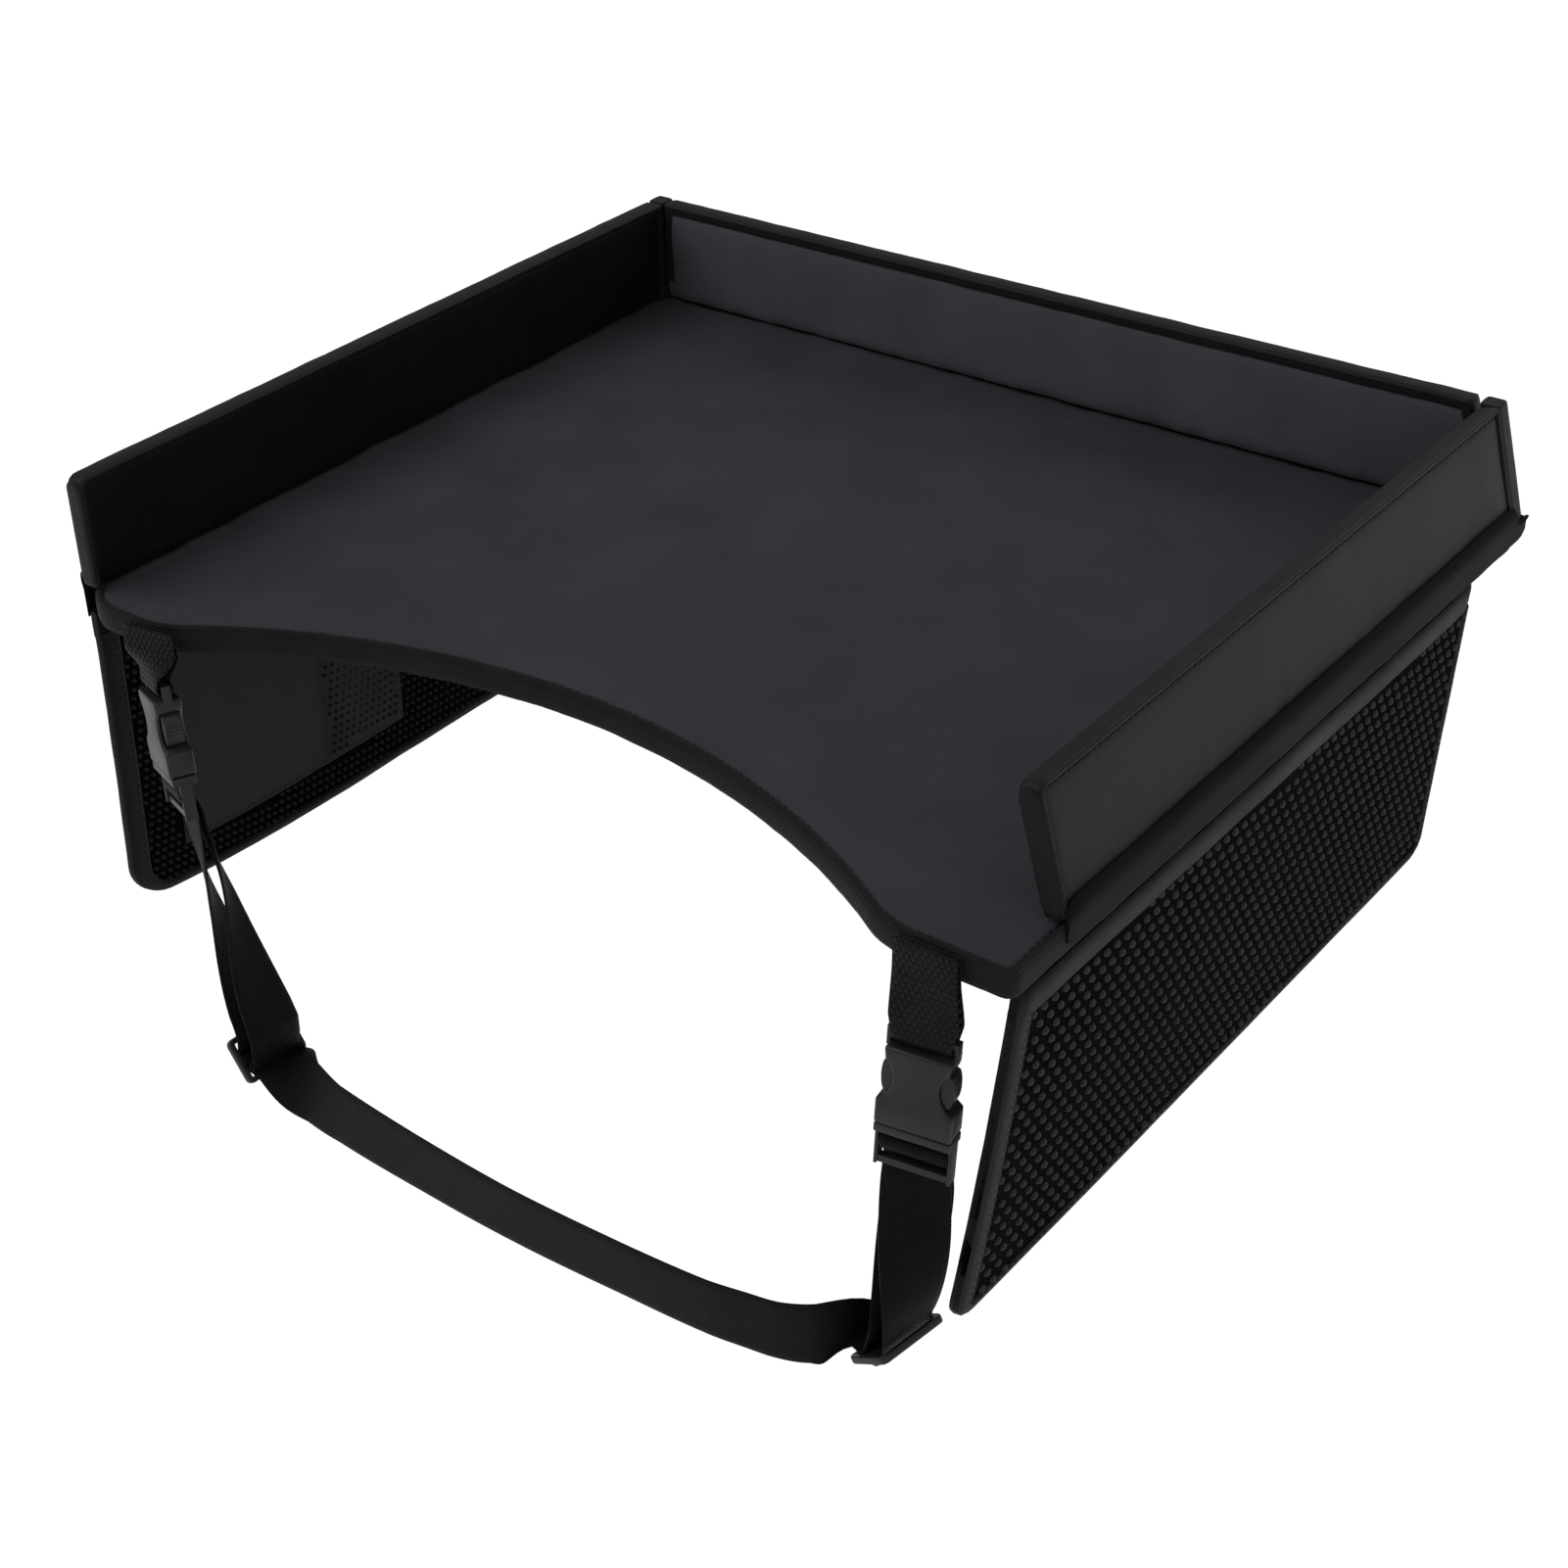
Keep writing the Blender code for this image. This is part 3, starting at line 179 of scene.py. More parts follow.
def loft(name, rows, material, loop=False, angle=38):
    """Skin over rows of points, each a closed ring; loop joins the last ring to the first."""
    rows = np.asarray(rows, float)
    count, wide = rows.shape[:2]
    along = lengths(rows.mean(axis=1), loop)
    across = lengths(rows[count // 2], True)
    faces, uv = [], []
    for i in range(count if loop else count - 1):
        n = (i + 1) % count
        for j in range(wide):
            m = (j + 1) % wide
            faces.append((i * wide + j, i * wide + m, n * wide + m, n * wide + j))
            uv += [(across[j], along[i]), (across[j + 1], along[i])]
            uv += [(across[j + 1], along[i + 1]), (across[j], along[i + 1])]
    if not loop:
        for i in (0, count - 1):
            faces.append(tuple(i * wide + j for j in range(wide)))
            spots = rows[i] - rows[i].mean(axis=0)
            one = spots[0] / max(np.linalg.norm(spots[0]), 1e-9)
            two = np.cross(rows[1][0] - rows[0][0], one)
            two = two / max(np.linalg.norm(two), 1e-9)
            uv += [(float(s @ one), float(s @ two)) for s in spots]
    return add_mesh(name, rows.reshape(-1, 3), faces, material, uv, angle)


def slab(name, near, far, material, angle=38):
    """A closed slab between two grids of points with the same layout."""
    near, far = np.asarray(near, float), np.asarray(far, float)
    count, wide = near.shape[:2]
    along = lengths(near.mean(axis=1))
    across = lengths(near[count // 2])
    faces, uv = [], []
    shift = count * wide
    for base in (0, shift):
        for i in range(count - 1):
            for j in range(wide - 1):
                spots = [(i, j), (i, j + 1), (i + 1, j + 1), (i + 1, j)]
                faces.append(tuple(base + a * wide + b for a, b in spots))
                uv += [(across[b], along[a]) for a, b in spots]
    edge = [(0, j) for j in range(wide)] + [(i, wide - 1) for i in range(1, count)]
    edge += [(count - 1, j) for j in range(wide - 2, -1, -1)] + [(i, 0) for i in range(count - 2, 0, -1)]
    for index, (a, b) in enumerate(edge):
        c, d = edge[(index + 1) % len(edge)]
        faces.append((a * wide + b, c * wide + d, shift + c * wide + d, shift + a * wide + b))
        uv += [(across[b], along[a]), (across[d], along[c])]
        uv += [(across[d] + 0.003, along[c] + 0.003), (across[b] + 0.003, along[a] + 0.003)]
    points = np.concatenate([near.reshape(-1, 3), far.reshape(-1, 3)])
    return add_mesh(name, points, faces, material, uv, angle)


def placed(matrix, points):
    """Points, in a row or a grid, moved by the matrix."""
    spots = np.asarray(points, float)
    turn = np.array(matrix.to_3x3())
    return (spots.reshape(-1, 3) @ turn.T + np.array(matrix.translation)).reshape(spots.shape)


def face_normal(place, inner):
    """The direction in which a wall's or a panel's inner or outer face looks."""
    return placed(place, [(0, -1 if inner else 1, 0)])[0] - np.array(place.translation)


def arc(centre, radius, start, end, steps):
    angles = [math.radians(start + (end - start) * step / steps) for step in range(steps + 1)]
    return [(centre[0] + radius * math.cos(a), centre[1] + radius * math.sin(a)) for a in angles]


def resample(line, spacing, closed=False):
    line = np.asarray(line, float)
    if closed:
        line = np.concatenate([line, line[:1]])
    total = lengths(line)
    count = max(2, int(round(total[-1] / spacing)))
    spots = np.linspace(0, total[-1], count + 1)
    if closed:
        spots = spots[:-1]
    return np.stack([np.interp(spots, total, line[:, k]) for k in range(line.shape[1])], axis=1)


def normals_2d(line, closed=False):
    """Unit normals to the right of a flat line."""
    line = np.asarray(line, float)
    if closed:
        run = np.roll(line, -1, axis=0) - np.roll(line, 1, axis=0)
    else:
        run = np.gradient(line, axis=0)
    run = run / np.linalg.norm(run, axis=1, keepdims=True)
    return np.stack([run[:, 1], -run[:, 0]], axis=1)


def ripple(x, y=0.0, z=0.0, detail=3):
    return noise.fractal(Vector((x, y, z)), 1.0, 2.0, detail)


def point_at(line, total, at):
    """The point on a line at a distance from its start; total holds the distances of its points."""
    return np.array([np.interp(at, total, line[:, c]) for c in range(3)])


def stitches(name, line, outward, material, pitch=0.0034, length=0.0024, radius=0.00020):
    """A row of short raised threads along a line; outward is the direction in which they stand proud."""
    line = np.asarray(line, float)
    total = lengths(line)
    outward = np.broadcast_to(np.asarray(outward, float), line.shape)
    points, faces, uv = [], [], []
    count = int(total[-1] / pitch)
    profile = [(-0.5, 0.15, -0.5), (-0.32, 0.8, 0.35), (0.0, 1.0, 0.75), (0.32, 0.8, 0.35), (0.5, 0.15, -0.5)]
    sides = 5
    for k in range(count):
        middle = (k + 0.5) * total[-1] / count
        here = len(points)
        for along, fat, lift in profile:
            at = middle + along * length
            spot = point_at(line, total, at)
            ahead = point_at(line, total, at + 1e-4)
            behind = point_at(line, total, at - 1e-4)
            run = (ahead - behind) / max(np.linalg.norm(ahead - behind), 1e-12)
            up = point_at(outward, total, at)
            up = up - run * (up @ run)
            up = up / np.linalg.norm(up)
            side = np.cross(run, up)
            for s in range(sides):
                a = 2 * math.pi * s / sides
                rise = up * radius * (lift + fat * math.sin(a))
                points.append(spot + rise + side * radius * fat * math.cos(a))
        for i in range(len(profile) - 1):
            for s in range(sides):
                m = (s + 1) % sides
                a, b = here + i * sides, here + (i + 1) * sides
                faces.append((a + s, a + m, b + m, b + s))
                uv += [(0, 0), (0, 0.001), (0.001, 0.001), (0.001, 0)]
        for i in (0, len(profile) - 1):
            faces.append(tuple(here + i * sides + s for s in range(sides)))
            uv += [(0, 0)] * sides
    return add_mesh(name, points, faces, material, uv, 60)


def dress(piece, body, replaced=()):
    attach(piece, body)
    if replaced:
        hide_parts(*replaced)
    return piece


# ---------------------------------------------------------------- materials

def reckon(tree, operation, *values):
    """A Math node on sockets and numbers."""
    node = tree.nodes.new("ShaderNodeMath")
    node.operation = operation
    for socket, value in zip(node.inputs, values):
        if hasattr(value, "is_output"):
            tree.links.new(value, socket)
        else:
            socket.default_value = value
    return node.outputs[0]


class Finish:
    """A Principled material with small helpers for its procedural nodes."""

    def __init__(self, name, roughness, **settings):
        self.material = bpy.data.materials.new(name)
        self.material.use_nodes = True
        self.nodes = self.material.node_tree.nodes
        self.links = self.material.node_tree.links
        self.shader = self.nodes["Principled BSDF"]
        self.shader.inputs["Roughness"].default_value = roughness
        for key, value in settings.items():
            self.shader.inputs[key.replace("_", " ")].default_value = value
        self.flat = self.make("ShaderNodeUVMap")
        self.flat.uv_map = "weave"
        self.split = self.make("ShaderNodeSeparateXYZ")
        self.links.new(self.flat.outputs["UV"], self.split.inputs[0])
        self.u, self.v = self.split.outputs[0], self.split.outputs[1]
        self.place = self.make("ShaderNodeTexCoord").outputs["Object"]

    def make(self, kind):
        return self.nodes.new(kind)

    def sum(self, operation, *values):
        return reckon(self.material.node_tree, operation, *values)

    def speckle(self, scale, detail=3.0, place=None):
        node = self.make("ShaderNodeTexNoise")
        node.inputs["Scale"].default_value = scale
        node.inputs["Detail"].default_value = detail
        self.links.new(place or self.place, node.inputs["Vector"])
        return node.outputs[0]

    def wave(self, value, pitch):
        """0 to 1 and back over each pitch."""
        turned = self.sum("MULTIPLY", value, 2 * math.pi / pitch)
        return self.sum("MULTIPLY_ADD", self.sum("SINE", turned), 0.5, 0.5)

    def colours(self, factor, dark, light, low=0.0, high=1.0):
        ramp = self.make("ShaderNodeValToRGB")
        ramp.color_ramp.elements[0].position = low
        ramp.color_ramp.elements[1].position = high
        ramp.color_ramp.elements[0].color = (*dark, 1)
        ramp.color_ramp.elements[1].color = (*light, 1)
        self.links.new(factor, ramp.inputs[0])
        self.links.new(ramp.outputs[0], self.shader.inputs["Base Color"])

    def bump(self, height, distance, strength=1.0):
        node = self.make("ShaderNodeBump")
        node.inputs["Distance"].default_value = distance
        node.inputs["Strength"].default_value = strength
        self.links.new(height, node.inputs["Height"])
        self.links.new(node.outputs[0], self.shader.inputs["Normal"])

    def rough(self, factor, low, high):
        spread = self.sum("MULTIPLY_ADD", factor, high - low, low)
        self.links.new(spread, self.shader.inputs["Roughness"])


def srgb(code):
    values = [int(code[i:i + 2], 16) / 255 for i in (0, 2, 4)]
    return tuple(v / 12.92 if v <= 0.04045 else ((v + 0.055) / 1.055) ** 2.4 for v in values)


def cloth_finish(name, dark, light, roughness=0.62, sheen=0.12, thread=0.00055, depth=0.00006, shine=0.12):
    """Close plain weave, with a slow change of tone and a little lint."""
    made = Finish(name, roughness, Sheen_Weight=sheen, Sheen_Roughness=0.5, Specular_IOR_Level=shine)
    warp = made.wave(made.u, thread)
    weft = made.wave(made.v, thread)
    weave = made.sum("MAXIMUM", made.sum("MULTIPLY", warp, 0.9), weft)
    slubs = made.speckle(900, 4)
    height = made.sum("MULTIPLY_ADD", slubs, 0.9, weave)
    mottle = made.speckle(28, 5)
    grain = made.speckle(1500, 2)
    tone = made.sum("MULTIPLY_ADD", grain, 0.35, made.sum("MULTIPLY_ADD", mottle, 0.8, -0.08))
    made.colours(tone, dark, light, 0.25, 0.8)
    made.rough(mottle, roughness - 0.08, roughness + 0.12)
    made.bump(height, depth)
    return made.material


def twill_finish(name, dark, light, pitch=0.0018, slope=1.35, roughness=0.6, depth=0.00035, sheen=0.01):
    """Diagonal ribs of a twill tape, each broken into threads."""
    made = Finish(name, roughness, Sheen_Weight=sheen, Specular_IOR_Level=0.08)
    line = made.sum("MULTIPLY_ADD", made.u, slope, made.v)
    ribs = made.wave(line, pitch)
    cross = made.sum("MULTIPLY_ADD", made.u, -0.8, made.v)
    threads = made.wave(cross, pitch * 0.42)
    fuzz = made.speckle(1400, 3)
    height = made.sum("MULTIPLY_ADD", threads, 0.28, made.sum("MULTIPLY_ADD", fuzz, 0.35, ribs))
    worn = made.speckle(60, 4)
    # Tone follows the relief: rib crests are painted lighter and grooves darker, a painted highlight and
    # shade, with slow random wear over it.
    tone = made.sum("MULTIPLY_ADD", worn, 0.45, made.sum("MULTIPLY_ADD", height, 0.5, -0.12))
    made.colours(tone, dark, light, 0.1, 0.95)
    made.bump(height, depth)
    return made.material


def basket_finish(name, dark, light, pitch_u=0.0017, pitch_v=0.0019, roughness=0.55, depth=0.0005):
    """Heavy webbing whose yarns stand out as rows of small knots."""
    made = Finish(name, roughness, Sheen_Weight=0.01, Specular_IOR_Level=0.1)
    yarn = made.sum("SINE", made.sum("MULTIPLY", made.v, math.pi / pitch_v))
    across = made.sum("COSINE", made.sum("MULTIPLY", made.u, 2 * math.pi / pitch_u))
    # Each row of knots stands half a step to the side of the row before it
    raised = made.sum("MULTIPLY", made.sum("MULTIPLY_ADD", across, yarn, made.sum("ABSOLUTE", yarn)), 0.5)
    fuzz = made.speckle(1600, 3)
    height = made.sum("MULTIPLY_ADD", fuzz, 0.3, raised)
    worn = made.speckle(70, 4)
    # Tone follows the relief: knots are painted lighter and the gaps between them darker, a painted highlight
    # and shade, with slow random wear over it.
    tone = made.sum("MULTIPLY_ADD", worn, 0.4, made.sum("MULTIPLY_ADD", height, 0.6, -0.15))
    made.colours(tone, dark, light, 0.1, 0.95)
    made.bump(height, depth)
    return made.material


def plastic_finish(name, dark, light, roughness=0.42):
    """Moulded plastic with a fine spark-eroded grain, and a painted highlight that lightens its edges."""
    made = Finish(name, roughness, Specular_IOR_Level=0.25)
    grain = made.speckle(2600, 2)
    flow = made.speckle(90, 4)
    edges = made.make("ShaderNodeNewGeometry").outputs["Pointiness"]
    # Convex edges are painted lighter: a painted highlight along the edges.
    painted_edge_highlight = made.sum("MULTIPLY_ADD", edges, 6.0, -2.9)
    tone = made.sum("ADD", made.sum("MULTIPLY", flow, 0.5), made.sum("MAXIMUM", painted_edge_highlight, 0.0))
    made.colours(tone, dark, light, 0.15, 0.95)
    made.rough(flow, roughness - 0.06, roughness + 0.14)
    made.bump(grain, 0.00004)
    return made.material


def thread_finish(name, dark, light):
    made = Finish(name, 0.5, Sheen_Weight=0.03, Specular_IOR_Level=0.2)
    twist = made.speckle(2200, 2)
    made.colours(twist, dark, light, 0.3, 0.7)
    made.bump(twist, 0.00006)
    return made.material


DECK = cloth_finish("deck cloth", srgb("292b2f"), srgb("35373c"), 0.66, 0.04)
WALL = cloth_finish("wall cloth", srgb("1d1f21"), srgb("282a2d"), 0.45, 0.02, shine=0.09)
# The left wall's cloth is the wall cloth painted far darker: painted shade for the left wall's inner face,
# which looks away from the key light.
WALL_LEFT_PAINTED_SHADE = cloth_finish("wall cloth left painted shade", srgb("070708"), srgb("0e0e0f"), 0.5, 0.01)
# The far wall's cloth is the wall cloth painted lighter: painted light on the far wall's inner face, which
# faces the lamps.
WALL_BACK_PAINTED_LIGHT = cloth_finish("wall cloth far painted light", srgb("404246"), srgb("4e5156"), 0.55, 0.05)
POCKET = cloth_finish("pocket cloth", srgb("1b1c1d"), srgb("262728"), 0.62, 0.03)
TAPE = cloth_finish("smooth tape", srgb("161617"), srgb("222324"), 0.45, 0.01, 0.0005, 0.00004, 0.1)
DULL = cloth_finish("panel band", srgb("070707"), srgb("0f0f0f"), 0.5, 0.01, 0.0005, 0.00004, 0.06)
FLANGE = cloth_finish("flange cloth", srgb("101011"), srgb("19191a"), 0.66, 0.01, 0.0005, 0.00004, 0.04)
EDGE = cloth_finish("panel binding", srgb("101010"), srgb("1a1a1a"), 0.5, 0.01, 0.0008, 0.00012, 0.07)
TWILL = twill_finish("twill binding", srgb("0b0b0b"), srgb("343434"))
FINE_TWILL = twill_finish("deck twill", srgb("0b0b0b"), srgb("282828"), 0.0011, 1.0, 0.62, 0.00022)
BELT = twill_finish("belt webbing", srgb("060606"), srgb("181818"), 0.0012, 1.1, 0.5, 0.00030)
TABWEB = basket_finish("tab webbing", srgb("050505"), srgb("262626"), 0.0019, 0.0019, depth=0.0007)
GROUND = cloth_finish("mesh ground", srgb("020203"), srgb("050506"), 0.85, 0.0, 0.0009, 0.0002, 0.02)
# The mesh's knots are real raised domes; their colour, far lighter than the mesh ground, is a painted
# highlight on their tops.
KNOT_PAINTED_HIGHLIGHT = cloth_finish("mesh rib", srgb("1d1f22"), srgb("33363b"), 0.6, 0.01, 0.0006, 0.00012, 0.05)
DIM_KNOT_PAINTED_HIGHLIGHT = cloth_finish("fine mesh rib", srgb("161719"), srgb("25272a"), 0.6, 0.01, 0.0006, 0.00008, 0.05)
PLASTIC = plastic_finish("moulded plastic", srgb("101010"), srgb("262626"), 0.38)
THREAD = thread_finish("sewing thread", srgb("0e0e0e"), srgb("222222"))


# ---------------------------------------------------------------- deck

def deck_half(inset, corner):
    """The deck's outline where x isn't negative, from its notch round to its back line."""
    notch_centre = (0.0, NOTCH_DEPTH - NOTCH_RADIUS)
    meet = math.degrees(math.atan2(LOBE_RADIUS - notch_centre[1], LOBE_CENTRE_X))
    far = DECK_CORNER_RADIUS
    points = arc(notch_centre, NOTCH_RADIUS + inset, 90, meet, 40)
    points += arc((LOBE_CENTRE_X, LOBE_RADIUS), LOBE_RADIUS - inset, meet + 180, 270, 16)[1:]
    points += arc((HALF_WIDTH - corner, corner), corner - inset, 270, 360, 10)
    return points + arc((HALF_WIDTH - far, DECK_DEPTH - far), far - inset, 0, 90, 8)


def deck_outline(inset):
    """The deck seen from above, drawn in from its true edge by the inset, counterclockwise."""
    left = [(-x, y) for x, y in reversed(deck_half(inset, DECK_FRONT_CORNER["left"])[1:])]
    return deck_half(inset, DECK_FRONT_CORNER["right"]) + left


def deck_edges(inset, columns):
    """Front and back limits of the deck at each x, drawn in by the inset."""
    limits = []
    for side, beyond in (("left", columns < 0), ("right", columns >= 0)):
        half = np.array(deck_half(inset, DECK_FRONT_CORNER[side]))
        split = int(np.argmax(half[:, 1] > DECK_DEPTH / 2))
        spots = np.abs(columns[beyond])
        limits.append((
            np.interp(spots, half[:split, 0], half[:split, 1]),
            np.interp(spots, half[split:, 0][::-1], half[split:, 1][::-1]),
        ))
    return np.concatenate([limits[0][0], limits[1][0]]), np.concatenate([limits[0][1], limits[1][1]])


# How far soft faces stand behind the CAD faces that they press on when the tray is folded
SOFT_RECESS = 0.0011


def deck_height(x, y, edge):
    """Height of the deck's cloth: soft waves, puckers along the walls and a dip at the seam."""
    waves = 0.00035 * ripple(x * 9, y * 9, 3.1) + 0.00012 * ripple(x * 45, y * 45, 7.7)
    back = max(0.0, 1 - (WALL_BACK - y) / 0.030)
    side = max(0.0, 1 - (WALL_LINE - abs(x)) / 0.022)
    pucker = 0.0006 * back ** 2 * ripple(x * 55, 1.3, y * 8) + 0.0006 * side ** 2 * ripple(y * 60, 5.3, x * 8)
    front = max(0.0, 1 - edge / 0.016)
    gather = 0.00028 * front ** 2 * ripple(x * 120, y * 120, 2.2)
    dip = -0.0011 * math.exp(-(max(edge, 0.0) / 0.0011) ** 2)
    return waves + pucker + gather + dip - SOFT_RECESS


def build_deck():
    inset, margin = 0.0021, 0.012
    half = HALF_WIDTH - inset
    ends = margin * (1 - np.cos(np.linspace(0, math.pi / 2, 9)))
    field = np.linspace(-half + margin, half - margin, 131)[1:-1]
    columns = np.concatenate([-half + ends, field, (half - ends)[::-1]])
    fy, by = deck_edges(inset, columns)
    share = np.linspace(0, 1, 113)
    share = np.concatenate([[0, 0.0016, 0.0035, 0.0065], share[1:-1], [0.9935, 0.9965, 0.9984, 1]])
    top, bottom = [], []
    for t in share:
        row_top, row_low = [], []
        for x, f, b in zip(columns, fy, by):
            y = f + (b - f) * t
            edge = min(y - f, b - y, half - abs(x))
            row_top.append((x, y, deck_height(x, y, edge)))
            low = -DECK_THICKNESS + SOFT_RECESS + 0.0007 * math.exp(-(edge / 0.0012) ** 2)
            row_low.append((x, y, low + 0.00025 * ripple(x * 14, y * 14, 9.0)))
        top.append(row_top)
        bottom.append(row_low)
    top = placed(TRAY_PLACE, top)
    bottom = placed(TRAY_PLACE, bottom)
    pad = slab("deck_cushion", top, bottom, DECK)
    dress(pad, "deck", ("deck_top_cover", "deck_foam_pad", "deck_board", "deck_bottom_cover"))

    # Binding that wraps the deck's edge, with a rolled upper lip and a twill face
    line = resample(deck_outline(0.0), 0.0022, True)
    out = normals_2d(line, True)
    profile = [
        (-0.0026, -0.0020), (-0.0024, -0.0006), (-0.0017, -0.0001), (-0.0008, -0.0002), (-0.0002, -0.0010),
        (-0.0004, -0.0018), (0.0000, -0.0028), (0.0001, -0.0055), (0.0000, -0.0083), (-0.0006, -0.0102),
        (-0.0016, -0.0102), (-0.0060, -0.0101), (-0.0062, -0.0095), (-0.0030, -0.0092), (-0.0022, -0.0060),
    ]
    rows = []
    for (x, y), (nx, ny) in zip(line, out):
        fall = 0.00035 * ripple(x * 70, y * 70, 4.0)
        swell = 0.00025 * ripple(x * 40, y * 40, 8.0)
        ring = []
        for a, b in profile:
            low = max(0.0, -b / DECK_THICKNESS)
            ring.append((x + nx * (a + swell * low), y + ny * (a + swell * low), b + fall * low))
        rows.append(ring)
    rows = placed(TRAY_PLACE, rows)
    edge = loft("deck_edge_tape", rows, FINE_TWILL, loop=True)
    dress(edge, "deck", ("deck_edge_binding",))

    # Stitch line on the cloth just inside the binding, and one on the underside
    inner = resample(deck_outline(0.0034), 0.0022, True)
    spots = [(x, y, deck_height(x, y, 0.0013) + 0.0001) for x, y in inner]
    dress(stitches("deck_seam_stitches", placed(TRAY_PLACE, spots), (0, 0, 1), THREAD), "deck")
    under = resample(deck_outline(0.0048), 0.0022, True)
    spots = [(x, y, -DECK_THICKNESS + 0.0010) for x, y in under]
    dress(stitches("deck_under_stitches", placed(TRAY_PLACE, spots), (0, 0, -1), THREAD), "deck")


# ---------------------------------------------------------------- walls

def wall_side(height, end, lean):
    return end - math.copysign(height * math.tan(lean), end)


def wall_frame(side):
    """Wall axes: x from the wall's start along its hinge, y outwards, z up. Also its length and end lean."""
    if side == "back":
        start = Vector((-WALL_LINE + GAP, WALL_BACK, GAP + BACK_ROOT))
        end = wall_side(BACK_ROOT + WALL_THICKNESS, 2 * (WALL_LINE - GAP), WALL_RIGHT_LEAN)
        return TRAY_PLACE @ Matrix.Translation(start), end, WALL_RIGHT_LEAN, WALL_HEIGHT - GAP - BACK_ROOT
    sign = SIDES[side]
    setback = WALL_SETBACK[side]
    start = Vector((-sign * WALL_LINE, setback, GAP))
    lean = 0.0 if side == "left" else WALL_RIGHT_LEAN
    place = Matrix.Translation(start) @ Matrix.Rotation(sign * math.pi / 2, 4, "Z")
    place = place @ Matrix.Rotation(lean, 4, "X")
    return TRAY_PLACE @ place, sign * (WALL_BACK - GAP - setback), 0.0, WALL_HEIGHT - GAP


CAP_DEPTH = {"left": 0.0019, "right": 0.0019, "back": 0.0042}
CAP_ROUNDS = {"left": (0.0048, 0.0008), "right": (0.0042, 0.0008), "back": (0.0008, 0.0008)}
CAP_LAP = 0.0004
WALL_SEED = {"left": 11.0, "right": 23.0, "back": 37.0}
WALL_RECESS = {"left": (SOFT_RECESS, 0.0006), "right": (SOFT_RECESS, 0.0006), "back": (0.0030, 0.0)}
# The left and far walls take shaded and lit copies of the one wall cloth: painted shade on the left, painted
# light at the back.
WALL_FINISH = {"left": WALL_LEFT_PAINTED_SHADE, "right": WALL, "back": WALL_BACK_PAINTED_LIGHT}
WALL_FOOT = 0.0002
WALL_LEVELS = np.concatenate([[0, 0.02, 0.045, 0.075], np.linspace(0.11, 0.93, 13), [0.965, 0.985, 1.0]])
WALL_COLUMNS = np.concatenate([[0, 0.002, 0.005], np.linspace(0.009, 0.991, 150), [0.995, 0.998, 1]])


def wall_swell(side, inner, s, h, length, height):
    """How far a wall's cloth stands in or out of its flat face at a place along and up it."""
    seed = WALL_SEED[side] + (5 if inner else 0)
    ends = min(s, length - s)
    rim = min(max(ends, 0.0), max(height - h, 0.0))
    puff = 0.0005 * (1 - math.exp(-max(rim, 0.0) / 0.004))
    foot = math.exp(-max(h, 0.0) / 0.0075)
    sharp = 1.6 if (inner and side == "left") else 0.55
    pleat = abs(ripple(s * 95, seed, h * 25, 2)) * 0.0011 * foot * sharp
    slow = 0.00035 * ripple(s * 16, seed, h * 16)
    bend = 0.00030 * ripple(s * 60, h * 30, seed) * sharp * math.exp(-h / 0.02)
    groove = -0.0007 * math.exp(-(rim / 0.0012) ** 2)
    heel = -0.0010 * math.exp(-(max(h, 0.0) / 0.0016) ** 2)
    return puff - pleat + slow + bend + groove + heel - WALL_RECESS[side][0 if inner else 1]


def build_wall_padding(side):
    place, end, end_lean, height = wall_frame(side)
    sign = math.copysign(1, end)
    cap = CAP_DEPTH[side] - CAP_LAP

    def face(inner):
        grid = []
        for level in WALL_LEVELS:
            h = WALL_FOOT + (height - cap - WALL_FOOT) * level
            last = wall_side(h, abs(end), end_lean) - cap
            row = []
            for c in WALL_COLUMNS:
                s = cap + (last - cap) * c
                swell = wall_swell(side, inner, s - cap, h, last - cap, height - cap)
                row.append((sign * s, -swell if inner else WALL_THICKNESS + swell, h))
            grid.append(row)
        return placed(place, grid)
    pad = slab(f"wall_{side}_padding", face(True), face(False), WALL_FINISH[side])
    nodes = tuple(f"wall_{side}_{layer}" for layer in ("inner_cover", "board", "outer_cover"))
    dress(pad, f"wall_{side}", nodes)


def build_wall_cap(side):
    """Cap binding over a wall's front end, its top and its far end."""
    place, end, end_lean, height = wall_frame(side)
    sign, long = math.copysign(1, end), abs(end)
    top = height + 0.0002
    front, far = CAP_ROUNDS[side]
    shift = top * math.tan(end_lean)
    path = [(0.0, WALL_FOOT)]
    path += arc((front, top - front), front, 180, 90, 7)
    path += arc((long - shift - far, top - far), far, 90, math.degrees(end_lean), 4)
    path += [(long - WALL_FOOT * math.tan(end_lean), WALL_FOOT)]
    path = resample(path, 0.002)
    deep = CAP_DEPTH[side] + CAP_LAP
    profile = [
        (0.0012, -deep), (0.0003, -deep + 0.0003), (0.0001, -deep + 0.0010), (0.0001, -0.0009),
        (0.0007, -0.0002), (0.0016, 0.0000), (0.0040, 0.0001), (0.0066, 0.0000), (0.0074, -0.0002),
        (0.0081, -0.0009), (0.0082, -deep + 0.0010), (0.0079, -deep + 0.0003), (0.0070, -deep),
    ]
    rows = []
    for (x, z), (nx, nz) in zip(path, -normals_2d(path)):
        wobble = 0.00014 * ripple(x * 60, z * 60, WALL_SEED[side])
        rows.append([
            (sign * (x + nx * (b + wobble)), a + wobble, z + nz * (b + wobble)) for a, b in profile
        ])
    piece = loft(f"wall_{side}_cap_binding", placed(place, rows), TAPE)
    dress(piece, f"wall_{side}", (f"wall_{side}_binding",))


